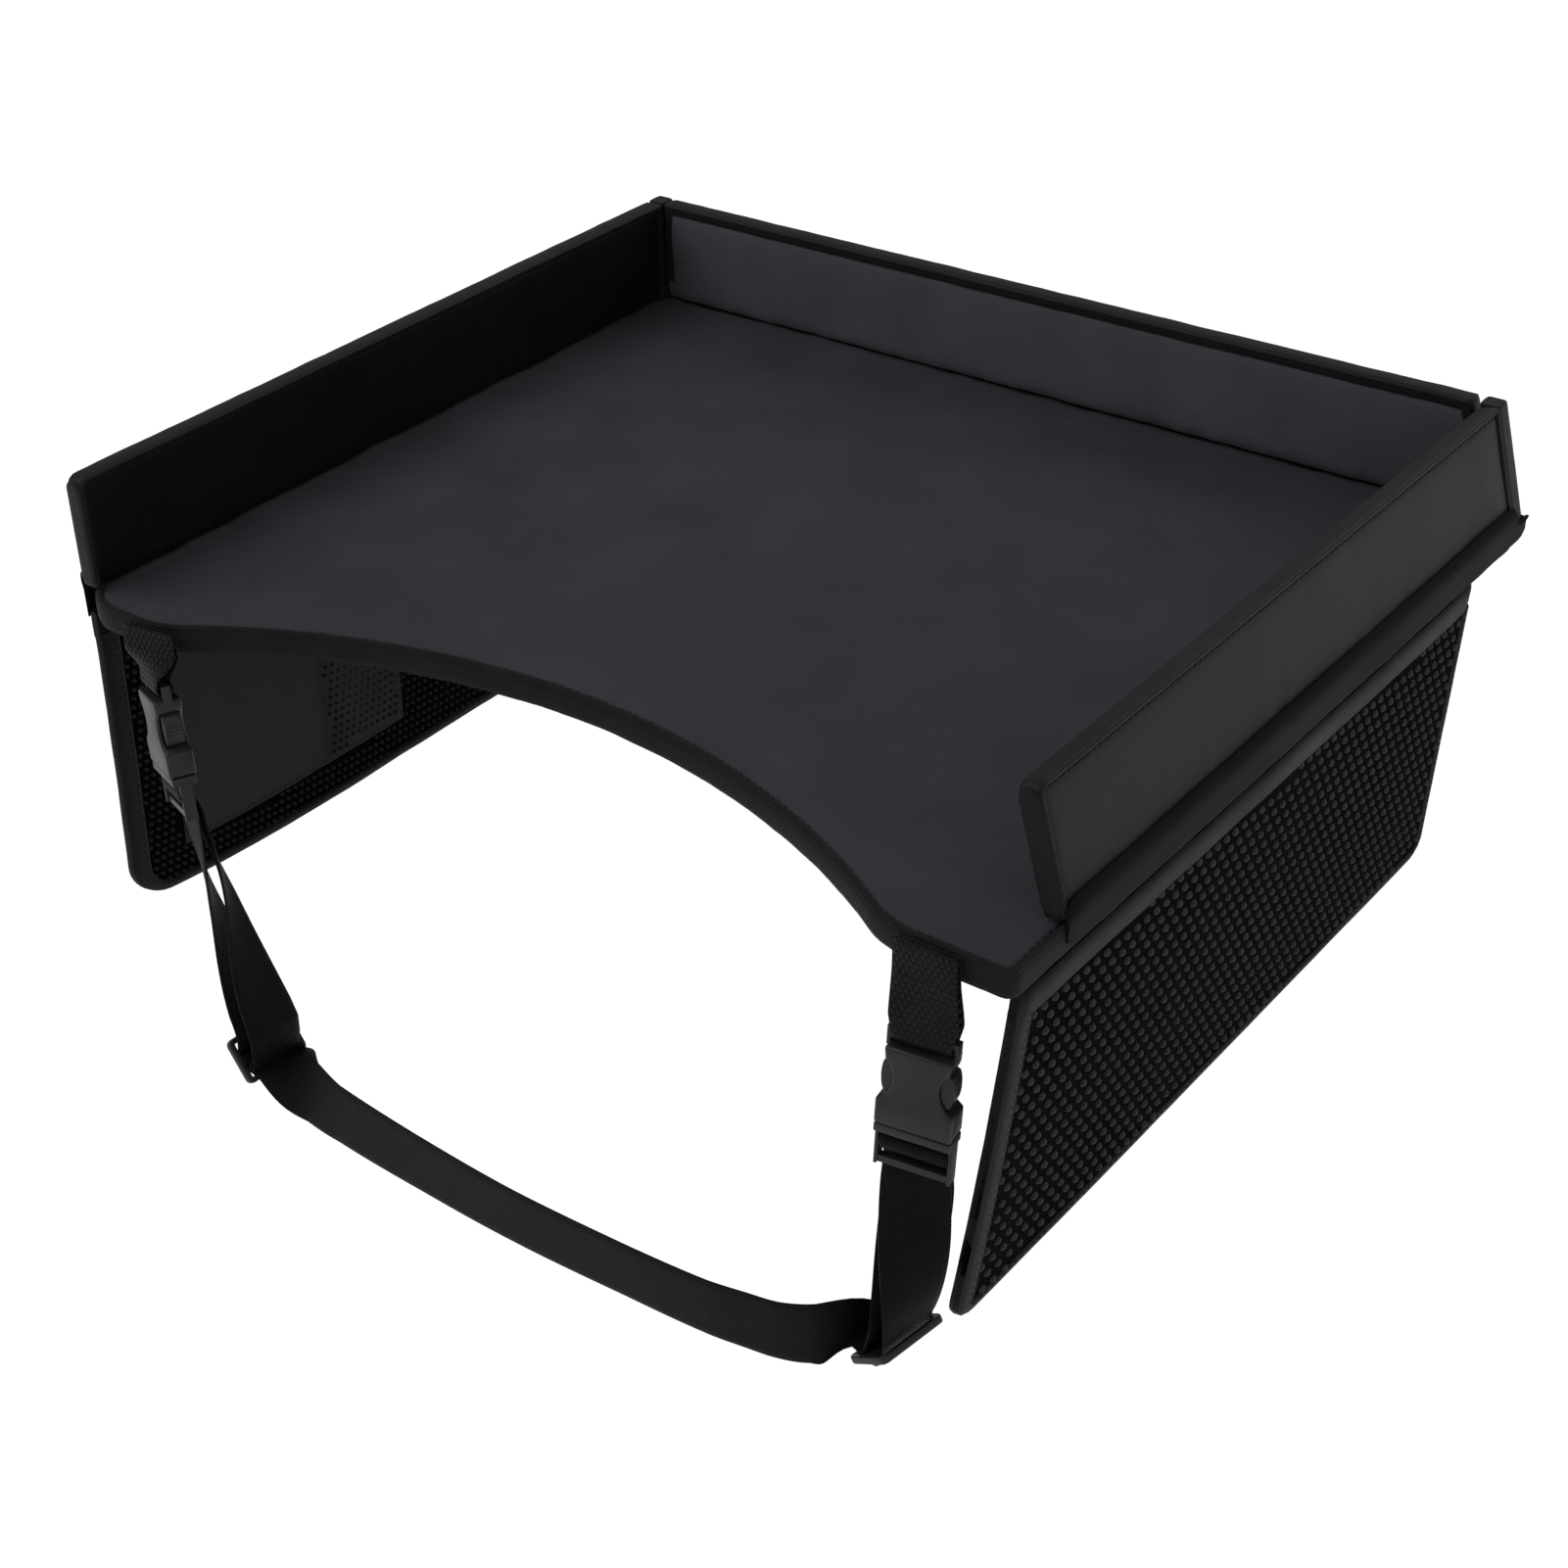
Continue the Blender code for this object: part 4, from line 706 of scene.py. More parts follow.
def build_wall_stitches(side):
    """Stitches beside the cap, on both faces."""
    place, end, end_lean, height = wall_frame(side)
    sign, long = math.copysign(1, end), abs(end)
    cap = CAP_DEPTH[side] - CAP_LAP
    inset = CAP_DEPTH[side] + 0.0009
    proud = 0.00005
    shift = (height - inset) * math.tan(end_lean)
    flat = resample([(inset + 0.002, height - inset), (long - shift - inset, height - inset)], 0.003)
    for inner in (True, False):
        spots = []
        for x, z in flat:
            swell = wall_swell(side, inner, x - cap, z, long - 2 * cap, height - cap)
            spots.append((sign * x, -swell - proud if inner else WALL_THICKNESS + swell + proud, z))
        name = f"wall_{side}_{'inner' if inner else 'outer'}_stitches"
        piece = stitches(name, placed(place, spots), face_normal(place, inner), THREAD)
        dress(piece, f"wall_{side}")


def build_end_tape(side):
    """Tape sewn over a side wall's front end, twill on the right; its ends are rounded."""
    place, end, _, height = wall_frame(side)
    sign = math.copysign(1, end)
    half = 0.0036
    low, high = 0.0004, height - 0.0010
    middle = WALL_THICKNESS / 2
    rows = []
    for t in np.linspace(0, 1, 41):
        h = low + (high - low) * t
        near = min(h - low, high - h)
        wide = half * math.sqrt(max(0.0, 1 - max(0.0, 1 - near / half) ** 2)) + 0.0001
        row = []
        for a in np.linspace(-1, 1, 9):
            rise = 0.0006 * math.sqrt(max(0.0, 1 - a ** 4)) * min(1.0, near / 0.0008 + 0.2)
            row.append((sign * (-0.0001 - rise), middle + wide * a, h))
        rows.append(row)
    rows = np.array(rows)
    back = rows.copy()
    back[:, :, 0] = sign * 0.0012
    front = placed(place, rows)
    back = placed(place, back)
    finish = TWILL if side == "right" else TAPE
    dress(slab(f"wall_{side}_end_tape", front, back, finish), f"wall_{side}")


def build_flange(side):
    """Rolled sewn flange along the foot of a wall's outer face.

    Below the deck's top it lies on the deck's edge, above it on the leaning wall.
    """
    low = -0.0084
    profile = [
        (0.0000, low), (-0.0002, -0.0040), (0.0000, 0.0000), (0.0000, 0.0045), (0.0006, 0.0050),
        (0.0015, 0.0041), (0.0021, 0.0024), (0.0020, 0.0006), (0.0013, -0.0012), (0.0008, -0.0026),
        (0.0008, low + 0.0006), (0.0004, low),
    ]
    place, end, _, _ = wall_frame(side)
    turn = place.to_3x3()
    sign = math.copysign(1, end)
    foot = place.translation
    if side == "back":
        foot = foot - Vector((0, 0, BACK_ROOT))
        span = (-GAP - WALL_THICKNESS + 0.0004, 2 * WALL_LINE + WALL_THICKNESS - 0.0004)
    else:
        span = (0.0, DECK_DEPTH + STRIP_REACH - WALL_SETBACK[side])
    run = turn @ Vector((sign, 0, 0))
    flat_out = Vector((0, 0, 1)).cross(run) * -sign
    flat_out.normalize()
    wall_out = turn @ Vector((0, 1, 0))
    wall_up = turn @ Vector((0, 0, 1))
    if flat_out.dot(wall_out) < 0:
        flat_out = -flat_out
    middle = -0.0018
    rows = []
    for s in np.linspace(span[0], span[1], 110):
        near = min(s - span[0], span[1] - s)
        tight = math.sqrt(max(0.9 if side == "left" else 0.4, min(1.0, near / 0.0035)))
        wave = 0.00022 * ripple(s * 34, WALL_SEED[side], 12.0)
        ring = []
        from_front = (s - span[0]) / 0.03
        thin = min(1.0, 0.45 + from_front) if side == "left" else 1.0
        drop = 0.0056 * max(0.0, 1 - from_front) if side == "left" else 0.0
        on_wall = 0.0 <= s <= abs(end) - 0.0004
        for a, b in profile:
            level = middle + (b - middle) * tight + wave - (drop if b < -0.005 else 0.0)
            reach = WALL_THICKNESS + GAP / 2 + a * tight * thin + wave / 2
            if b > 0 and not on_wall:
                level = -0.0004 + b * 0.02
            if b > 0 and on_wall:
                spot = foot + run * s + wall_out * reach + wall_up * level
            else:
                spot = foot + run * s + flat_out * reach + Vector((0, 0, level))
            ring.append(tuple(spot))
        rows.append(ring)
    piece = loft(f"wall_{side}_flange", rows, FLANGE)
    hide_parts(f"wall_{side}_hinge_strip")
    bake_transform(piece)


def build_back_face():
    """The far wall's inner cloth, in one sheet from the deck to the cap, so that its fold doesn't show."""
    place, long, end_lean, height = wall_frame("back")
    top = height - CAP_DEPTH["back"] + 0.0008
    foot = -BACK_ROOT + 0.0006
    levels = np.concatenate([foot + (0.004 - foot) * np.linspace(0, 1, 10), np.linspace(0.006, top, 14)])
    side_gap = 0.0008

    def face(depth):
        grid = []
        for h in levels:
            last = wall_side(h, long, end_lean) - side_gap
            above = h - foot
            row = []
            for c in WALL_COLUMNS:
                s = side_gap + (last - side_gap) * c
                ends = min(s, last - s)
                cove = 0.0012 * math.exp(-above / 0.0016)
                puff = 0.0008 * (1 - math.exp(-max(ends, 0.0) / 0.004))
                puff *= 1 - math.exp(-max(top - h, 0.0) / 0.003)
                pleat = abs(ripple(s * 85, 41.0, h * 22, 2)) * 0.0012 * math.exp(-above / 0.007)
                slow = 0.0003 * ripple(s * 15, 43.0, h * 18)
                row.append((s, 0.0009 - puff + pleat - slow + cove + depth, h))
            grid.append(row)
        return placed(place, grid)
    # The sheet takes the far wall's cloth, painted lighter as painted light.
    piece = slab("wall_back_inner_face", face(0.0), face(0.0006), WALL_BACK_PAINTED_LIGHT)
    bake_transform(piece)


def build_back_root():
    """The far wall's standing root, under its fold, with the puckers of the seam at the deck."""
    start = TRAY_PLACE @ Matrix.Translation(Vector((-WALL_LINE + GAP, WALL_BACK, GAP)))
    long = 2 * (WALL_LINE - GAP)
    height = BACK_ROOT - GAP
    levels = np.linspace(0, 1, 9)
    columns = np.linspace(0, 1, 140)

    def face(inner):
        grid = []
        for level in levels:
            h = height * level
            last = wall_side(h, long, WALL_RIGHT_LEAN)
            row = []
            for c in columns:
                s = 0.0004 + (last - 0.0008) * c
                pleat = abs(ripple(s * 80, 41.0 if inner else 47.0, h * 20, 2)) * 0.0007
                bulge = 0.0006 * math.sin(math.pi * min(1.0, level * 0.9 + 0.05))
                y = 0.0030 if inner else WALL_THICKNESS + bulge - pleat
                row.append((s, y, h))
            grid.append(row)
        return placed(start, grid)
    # The root takes the far wall's cloth, painted lighter as painted light.
    piece = slab("wall_back_root_roll", face(True), face(False), WALL_BACK_PAINTED_LIGHT)
    dress(piece, "deck", ("wall_back_root",))


def build_gusset(side):
    """Soft, nearly square column that closes a far corner."""
    lean = 0.0 if side == "left" else WALL_RIGHT_LEAN
    sign = -SIDES[side]
    low, high = WALL_BACK + GAP, DECK_DEPTH
    rows = []
    top = WALL_HEIGHT
    for t in np.concatenate([np.linspace(0, 0.94, 14), [0.965, 0.985, 0.996, 1.0]]):
        h = GAP + (top - GAP) * t
        shift = h * math.tan(lean)
        shrink = 1.0 - 0.08 * max(0.0, (t - 0.965) / 0.035) ** 3
        middle = sign * (HALF_WIDTH + WALL_LINE + GAP) / 2 - sign * shift
        half_x = (HALF_WIDTH - WALL_LINE - GAP) / 2 * shrink
        half_y = (high - low) / 2 * shrink
        ring = []
        for k in range(32):
            a = 2 * math.pi * k / 32
            c, s = math.cos(a), math.sin(a)
            fat = (abs(c) ** 8 + abs(s) ** 8) ** -0.125
            fold = 1 + 0.02 * ripple(c * 2, s * 2, h * 60)
            ring.append((middle + half_x * fat * fold * c, (low + high) / 2 + half_y * fat * fold * s, h))
        rows.append(ring)
    rows = placed(TRAY_PLACE, rows)
    piece = loft(f"corner_{side}_gusset", rows, TAPE)
    dress(piece, "deck", (f"corner_gusset_{side}",))
    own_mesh(piece)


# ---------------------------------------------------------------- side panels

def panel_frame(side):
    """Panel axes: x back along the hinge, y outwards, z up; zero is the top front inner corner."""
    sign = SIDES[side]
    start = Vector((-sign * (HALF_WIDTH - PANEL_THICKNESS), PANEL_FRONT_SETBACK[side], -DECK_THICKNESS - GAP))
    turn = Matrix.Rotation(sign * math.pi / 2, 4, "Z")
    return TRAY_PLACE @ Matrix.Translation(start) @ turn @ Matrix.Rotation(PANEL_TILT[side], 4, "X")


PANEL_HEIGHT = STAND_HEIGHT - DECK_THICKNESS - GAP


def panel_back(level):
    """Distance back of the panel's far edge at a height below its top."""
    return PANEL_TOP_LENGTH - level * (PANEL_BOTTOM_LENGTH - PANEL_TOP_LENGTH) / PANEL_HEIGHT


def panel_path(side, inset, top):
    """U-shaped line down the front, along the bottom and up the back, drawn in by the inset."""
    radius = max(PANEL_CORNER_RADIUS[side] - inset, 0.001)
    low = -PANEL_HEIGHT + inset
    points = [(inset, top)]
    points += arc((inset + radius, low + radius), radius, 180, 270, 10)
    points += arc((panel_back(low + radius) - inset - radius, low + radius), radius, 270, 360, 10)
    points.append((panel_back(top) - inset, top))
    return points


# Soft set of each side panel in the photo, at its lower front corner: outwards, up, and forwards
PANEL_SET = {"left": (0.0045, 0.0030, 0.0), "right": (-0.0008, -0.0006, 0.0045)}


def panel_bend(side, points):
    """Moves local points of a side panel into the shape that the soft panel has taken."""
    out, up, forward = PANEL_SET[side]
    spots = np.array(points, float)
    x = np.abs(spots[..., 0])
    depth = np.clip(-spots[..., 2] / PANEL_HEIGHT, 0, 1)
    weight = np.clip(1 - x / 0.11, 0, 1) ** 2 * depth ** 2
    spots[..., 1] += out * weight
    spots[..., 2] += up * weight
    spots[..., 0] -= np.sign(spots[..., 0] + 1e-12) * forward * np.clip(1 - x / 0.05, 0, 1) * depth ** 3
    return spots


def panel_place(side, points):
    return placed(panel_frame(side), panel_bend(side, points))


def inside(point, outline):
    x, z = point
    crossing = False
    for (a, b), (c, d) in zip(outline, outline[1:] + outline[:1]):
        if (b > z) != (d > z) and x < (c - a) * (z - b) / (d - b) + a:
            crossing = not crossing
    return crossing


def mesh_knots(name, side, y, outward, outline, finish, skip=None, size=1.0):
    """Raised slanted knots of the spacer mesh, as one piece of small domes on a skewed lattice."""
    sign = SIDES[side]
    points, faces, uv = [], [], []
    one, two = (0.0060 * size, -0.0004 * size), (0.0011 * size, 0.0060 * size)
    long_run, wide_run = (0.745, -0.667), (0.667, 0.745)
    half_long, half_wide, tall = 0.0025 * size, 0.0015 * size, 0.0009 * size
    rings = [(1.0, 0.0), (0.78, 0.52), (0.42, 0.88)]
    around = 8
    for r in range(-2, int(PANEL_HEIGHT / two[1]) + 3):
        for c in range(-6, int(PANEL_BOTTOM_LENGTH / one[0]) + 6):
            x = c * one[0] - r * two[0]
            z = c * one[1] - r * two[1]
            if not inside((x, z), outline) or (skip and skip(x, z)):
                continue
            x0 = x + 0.00025 * size * ripple(x * 300, z * 300, 1.0, 1)
            z0 = z + 0.00025 * size * ripple(x * 300, z * 300, 6.0, 1)
            here = len(points)
            for grow, lift in rings:
                for k in range(around):
                    a = 2 * math.pi * k / around
                    p, q = half_long * grow * math.cos(a), half_wide * grow * math.sin(a)
                    dx = p * long_run[0] + q * wide_run[0]
                    dz = p * long_run[1] + q * wide_run[1]
                    points.append((sign * (x0 + dx), y + outward * (tall * lift - 0.0002), z0 + dz))
            points.append((sign * x0, y + outward * (tall - 0.0002), z0))
            for i in range(len(rings) - 1):
                for k in range(around):
                    m = (k + 1) % around
                    a, b = here + i * around, here + (i + 1) * around
                    faces.append((a + k, a + m, b + m, b + k))
                    uv += [(x, z)] * 4
            top = here + (len(rings) - 1) * around
            tip = here + len(rings) * around
            for k in range(around):
                faces.append((top + k, top + (k + 1) % around, tip))
                uv += [(x, z)] * 3
            faces.append(tuple(here + k for k in range(around)))
            uv += [(x, z)] * around
    return add_mesh(name, panel_place(side, points), faces, finish, uv, 80)


def field_grid(side, y, inset, wave, seed):
    """Grid of the panel's field inside its binding; y may be moved by slow waves."""
    sign = SIDES[side]
    rows = []
    low = -PANEL_HEIGHT + inset[1]
    radius = max(PANEL_CORNER_RADIUS[side] - PANEL_BINDING, 0.002)
    for level in np.linspace(0, 1, 34):
        z = -PANEL_TOP_BAND + 0.0012 + (low + PANEL_TOP_BAND - 0.0012) * level
        above = z - low
        cut = radius - math.sqrt(max(0.0, radius ** 2 - max(0.0, radius - above) ** 2))
        first, last = inset[0] + cut, panel_back(z) - inset[1] - cut
        row = []
        for s in np.linspace(0, 1, 80):
            x = first + (last - first) * s
            row.append((sign * x, y + wave * ripple(x * 14, z * 14, seed), z))
        rows.append(row)
    return np.array(rows)


def binding_width(index, x, nx):
    """Width of a side panel's binding: wide down the front edge, narrow along the others."""
    front = 1.0 if index < 2 else min(1.0, max(0.0, -nx)) ** 2 if x < 0.05 else 0.0
    return PANEL_BINDING + (PANEL_FRONT_BINDING - PANEL_BINDING) * front


def build_panel_binding(side):
    """Wide soft binding round the front, bottom and back, with a row of stitches on both faces."""
    sign = SIDES[side]
    line = resample(panel_path(side, 0.0, -PANEL_TOP_BAND + 0.0006), 0.003)
    out = -normals_2d(line)
    if out[0][0] > 0:
        out = -out
    profile = [
        (0.10, 1.00), (0.00, 0.88), (-0.03, 0.6), (0.02, 0.25), (0.18, 0.05), (0.5, 0.0),
        (0.82, 0.05), (0.98, 0.25), (1.03, 0.6), (1.00, 0.88), (0.90, 1.00),
    ]
    rows = []
    for index, ((x, z), (nx, nz)) in enumerate(zip(line, out)):
        wide = binding_width(index, x, nx) + 0.0006
        wave = 0.0003 * ripple(x * 30, z * 30, 2.0 + sign)
        ring = []
        for a, b in profile:
            depth = wave - b * wide
            ring.append((sign * (x + nx * depth), PANEL_THICKNESS * a, z + nz * depth))
        rows.append(ring)
    piece = loft(f"panel_{side}_edge_binding", panel_place(side, rows), EDGE)
    dress(piece, f"panel_{side}", (f"panel_{side}_binding",))

    for inner in (True, False):
        y = -0.0002 if inner else PANEL_THICKNESS + 0.0002
        spots = []
        for index, ((x, z), (nx, nz)) in enumerate(zip(line, out)):
            wide = binding_width(index, x, nx) - 0.0008
            spots.append((sign * (x - nx * wide), y, z - nz * wide))
        name = f"panel_{side}_{'inner' if inner else 'outer'}_stitches"
        piece = stitches(name, panel_place(side, spots), face_normal(panel_frame(side), inner), THREAD)
        dress(piece, f"panel_{side}")


def build_panel_band(side):
    """Plain band at the panel's top, at the fold under the deck."""
    sign = SIDES[side]
    long = PANEL_TOP_LENGTH + 0.0005
    profile = [
        (0.30, 0.0008), (-0.02, 0.0000), (0.00, -0.0045), (0.05, -0.0100), (0.25, -0.0106),
        (0.75, -0.0106), (1.02, -0.0100), (1.06, -0.0050), (1.03, -0.0004), (0.85, 0.0008),
    ]
    rows = []
    for x in np.linspace(0.0, long, 100):
        pinch = min(1.0, 0.55 + min(x, long - x) / 0.006)
        wave = 0.00025 * ripple(x * 25, 3.0, sign)
        rows.append([
            (sign * x, PANEL_THICKNESS * (0.5 + (a - 0.5) * pinch) + wave, z) for a, z in profile
        ])
    band = loft(f"panel_{side}_fold_band", panel_place(side, rows), DULL)
    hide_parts(f"panel_{side}_top_band")
    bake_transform(band)


MESH_SINK = 0.0006
MESH_OUTER, MESH_INNER = PANEL_THICKNESS - MESH_SINK, MESH_SINK
FINE_MESH = 0.6
POCKET_LOW = -(STAND_HEIGHT - DECK_THICKNESS) + PANEL_BINDING + PANEL_POCKET_RAISE
POCKET_HIGH = -PANEL_TOP_BAND - 0.0002
POCKET_FIRST, POCKET_LAST = PANEL_POCKET_START, PANEL_POCKET_START + PANEL_POCKET_LENGTH
POCKET_SEAM = POCKET_FIRST + 0.078


def behind_pocket(x, z):
    return POCKET_FIRST - 0.002 < x < POCKET_LAST + 0.001 and z > POCKET_LOW - 0.0015


def build_panel_mesh(side):
    """Mesh on both faces, over the board."""
    insets = (PANEL_FRONT_BINDING - 0.0006, PANEL_BINDING - 0.0004)
    near = panel_place(side, field_grid(side, MESH_INNER, insets, 0.0002, 3.0))
    far = panel_place(side, field_grid(side, MESH_OUTER, insets, 0.0003, 7.0))
    ground = slab(f"panel_{side}_mesh_ground", near, far, GROUND)
    nodes = tuple(f"panel_{side}_{layer}" for layer in ("board", "outer_mesh", "inner_mesh"))
    dress(ground, f"panel_{side}", nodes)
    edge = panel_path(side, PANEL_BINDING + 0.0008, -PANEL_TOP_BAND - 0.0022)
    edge = [(max(x, PANEL_FRONT_BINDING + 0.0010), z) for x, z in edge]
    # The knots' light colour is a painted highlight.
    ribs = mesh_knots(f"panel_{side}_outer_mesh_ribs", side, MESH_OUTER + 0.0002, 1, edge, KNOT_PAINTED_HIGHLIGHT)
    dress(ribs, f"panel_{side}")
    name = f"panel_{side}_inner_mesh_ribs"
    ribs = mesh_knots(name, side, MESH_INNER - 0.0002, -1, edge, DIM_KNOT_PAINTED_HIGHLIGHT, behind_pocket, FINE_MESH)
    dress(ribs, f"panel_{side}")


def build_pocket(side):
    """The pocket on the inner face: a plain cloth part in front, a mesh part behind it."""
    sign = SIDES[side]
    body = f"panel_{side}"
    rows = []
    for level in np.linspace(0, 1, 44):
        z = POCKET_LOW + (POCKET_HIGH - POCKET_LOW) * level
        row = []
        for s in np.linspace(0, 1, 70):
            x = POCKET_FIRST + (POCKET_LAST - POCKET_FIRST) * s
            ends = min(x - POCKET_FIRST, POCKET_LAST - x, abs(x - POCKET_SEAM))
            bulge = 0.0007 * (1 - math.exp(-ends / 0.008)) * (1 - math.exp(-(z - POCKET_LOW) / 0.008))
            creases = 0.0005 * abs(ripple(x * 50, z * 9, 3.3, 2)) * math.exp(-ends / 0.03)
            row.append((sign * x, MESH_INNER - 0.0006 - bulge + creases, z))
        rows.append(row)
    rows = np.array(rows)
    back = rows.copy()
    back[:, :, 1] = MESH_INNER - 0.0001
    piece = slab(f"panel_{side}_pocket_cloth", panel_place(side, rows), panel_place(side, back), POCKET)
    dress(piece, body, (f"panel_{side}_document_pocket",))
    rear = [(POCKET_SEAM + 0.0020, POCKET_HIGH - 0.001), (POCKET_SEAM + 0.0020, POCKET_LOW + 0.0030)]
    rear += [(POCKET_LAST - 0.0026, POCKET_LOW + 0.0030), (POCKET_LAST - 0.0026, POCKET_HIGH - 0.001)]
    name = f"panel_{side}_pocket_mesh_ribs"
    dress(mesh_knots(name, side, MESH_INNER - 0.0011, -1, rear, DIM_KNOT_PAINTED_HIGHLIGHT, None, FINE_MESH), body)

    # Three upright rows of stitches, and one along the pocket's foot
    y = MESH_INNER - 0.0009
    lines = []
    for x in (POCKET_FIRST + 0.0014, POCKET_SEAM, POCKET_LAST - 0.0014):
        lines.append([(sign * x, y, z) for z in np.linspace(POCKET_LOW + 0.002, POCKET_HIGH - 0.002, 30)])
    ends = np.linspace(POCKET_FIRST + 0.003, POCKET_LAST - 0.003, 50)
    lines.append([(sign * x, y, POCKET_LOW + 0.0014) for x in ends])
    outward = face_normal(panel_frame(side), True)
    for letter, line in zip("abcd", lines):
        name = f"panel_{side}_pocket_stitches_{letter}"
        dress(stitches(name, panel_place(side, line), outward, THREAD), body)


# ---------------------------------------------------------------- webbing and buckles

def axes(origin, across, down):
    up = -down.normalized()
    across = (across - up * across.dot(up)).normalized()
    out = up.cross(across)
    return Matrix.Translation(origin) @ Matrix((across, out, up)).transposed().to_4x4()


def yawed(angle):
    return Vector((math.cos(angle), math.sin(angle), 0.0))


def front_line(x):
    off = max(0.0, LOBE_CENTRE_X - abs(x))
    lobe = LOBE_RADIUS - math.sqrt(LOBE_RADIUS ** 2 - off ** 2)
    return lobe, math.copysign(math.asin(off / LOBE_RADIUS), -x)


def tab_hinge(side):
    edge, yaw = front_line(TAB_X[side])
    out = GAP + WEB_THICKNESS + STITCH_GAP / 2
    return Vector((TAB_X[side] + out * math.sin(yaw), edge - out * math.cos(yaw), -TAB_HINGE_DROP))


def buckle_axes(side):
    lean = TAB_LEAN_SHARES[side]
    bar = tab_hinge(side) + Vector((lean[0], lean[1], -1.0)) * TAB_DROP[side]
    tilt = BUCKLE_LEAN_SHARES[side]
    down = Vector((tilt[0], tilt[1], -1.0)).normalized()
    return axes(bar + down * (LOOP_TOP - LOOP_BAR / 2), yawed(BUCKLE_YAW[side]), down)


def slider_axes(side):
    share = SLIDER_PLACE_SHARES[side]
    place = Vector((share[0] * HALF_WIDTH, share[1] * BELT_REACH, share[2] * STAND_HEIGHT))
    across = yawed(SLIDER_YAW[side])
    run = Vector(SLIDER_RUN_SHARES[side])
    return axes(place, across, run - across * run.dot(across))


def direction(stations, index):
    before = stations[max(index - 1, 0)][0]
    after = stations[min(index + 1, len(stations) - 1)][0]
    return (after - before).normalized()


def ribbon(name, stations, material, selvedge=0.0011):
    """Flat webbing with rounded, slightly thickened selvedges, swept through its stations."""
    rows = []
    columns = 12
    for index, (place, across, width) in enumerate(stations):
        out = across.cross(direction(stations, index)).normalized()
        front, back = [], []
        for c in range(columns + 1):
            share = c / columns * 2 - 1
            edge = (1 - abs(share)) * width / 2
            half = WEB_THICKNESS / 2 * min(1.0, 0.45 + edge / 0.0007)
            half *= 1.0 + 0.06 * math.exp(-((edge - selvedge) / 0.0005) ** 2)
            spot = place + across * (width / 2 * share)
            front.append(spot + out * half)
            back.append(spot - out * half)
        rows.append([tuple(p) for p in front + back[::-1]])
    rows = placed(TRAY_PLACE, rows)
    return loft(name, rows, material, angle=50)


def wrap(centre, radius, place, start, end, width, steps=12):
    across = place.col[0].to_3d()
    points = arc(centre, radius, start, end, steps)
    return [(place @ Vector((0.0, y, z)), across, width) for y, z in points]


def hermite(start, start_run, end, end_run, share):
    square, cube = share ** 2, share ** 3
    return (
        start * (2 * cube - 3 * square + 1)
        + start_run * (cube - 2 * square + share)
        + end * (3 * square - 2 * cube)
        + end_run * (cube - square)
    )


def refined(stations, parts=3):
    """More stations on a smooth curve through the given ones."""
    rows = []
    for index in range(len(stations) - 1):
        here, after = stations[index], stations[index + 1]
        before = stations[index - 1] if index else here
        beyond = stations[index + 2] if index + 2 < len(stations) else after
        span = (after[0] - here[0]).length
        first = (after[0] - before[0]).normalized() * span
        second = (beyond[0] - here[0]).normalized() * span
        for part in range(parts):
            share = part / parts
            place = hermite(here[0], first, after[0], second, share)
            width = here[2] + (after[2] - here[2]) * share
            rows.append((place, here[1].lerp(after[1], share).normalized(), width))
    rows.append(stations[-1])
    return rows


def tab_stations(side):
    buckle = buckle_axes(side)
    top = tab_hinge(side)
    bar = LOOP_TOP - LOOP_BAR / 2
    radius = math.hypot(LOOP_BAR / 2, LOOP_THICKNESS / 2) + GAP + WEB_THICKNESS / 2
    half_gap = (WEB_THICKNESS + STITCH_GAP) / 2
    turn = wrap((0.0, bar), radius, buckle, 180, 360, TAB_PINCH)
    across_foot = buckle.col[0].to_3d()
    out_foot = buckle.col[1].to_3d()
    foot = buckle @ Vector((0.0, 0.0, bar))
    across_top = yawed(front_line(TAB_X[side])[1] * TAB_SETTLE_SHARE)
    out_top = Vector((0.0, 0.0, 1.0)).cross(across_top)
    lean = TAB_LEAN_SHARES[side]
    top_run = Vector((lean[0] / 2, 2 * lean[1], -1.0)) * TAB_DROP[side]
    foot_run = buckle.col[2].to_3d() * -TAB_DROP[side]
    straight = TAB_STRAIGHT_SHARE * DECK_THICKNESS / TAB_DROP[side]
    steps = 24

    def layer(sign):
        rows = []
        for step in range(steps):
            share = step / steps
            turned = min(1.0, max(0.0, (share - straight) / (TAB_TURNED_SHARE - straight)))
            blend = turned * turned * (3 - 2 * turned)
            across = across_top.lerp(across_foot, blend).normalized()
            out = out_top.lerp(out_foot, blend).normalized()
            spread = half_gap + (radius - half_gap) * share ** 2
            place = hermite(top, top_run, foot, foot_run, share) + out * (sign * spread)
            from_foot = (1 - share) * TAB_DROP[side]
            width = WEB_WIDTH - (WEB_WIDTH - TAB_PINCH) * max(0.0, 1 - from_foot / TAB_FAN)
            rows.append((place, across, width))
        return rows
    return layer(-1), turn, layer(1)


def ladder_foot():
    return (-LADDER_BOTTOM, -LADDER_BOTTOM + LADDER_FOOT)


def ladder_bar():
    collar_low = -MOUTH - GAP - COLLAR_HEIGHT
    room = collar_low - ladder_foot()[1] - LADDER_BAR
    low = ladder_foot()[1] + room * LADDER_BAR_SHARE
    return (low, low + LADDER_BAR)


def strap_run(start, start_across, start_run, end, end_across, end_run, power):
    rows = []
    for step in range(1, 9):
        share = step / 9
        place = hermite(start, start_run, end, end_run, share)
        rows.append((place, start_across.lerp(end_across, share ** power).normalized(), WEB_WIDTH))
    return rows


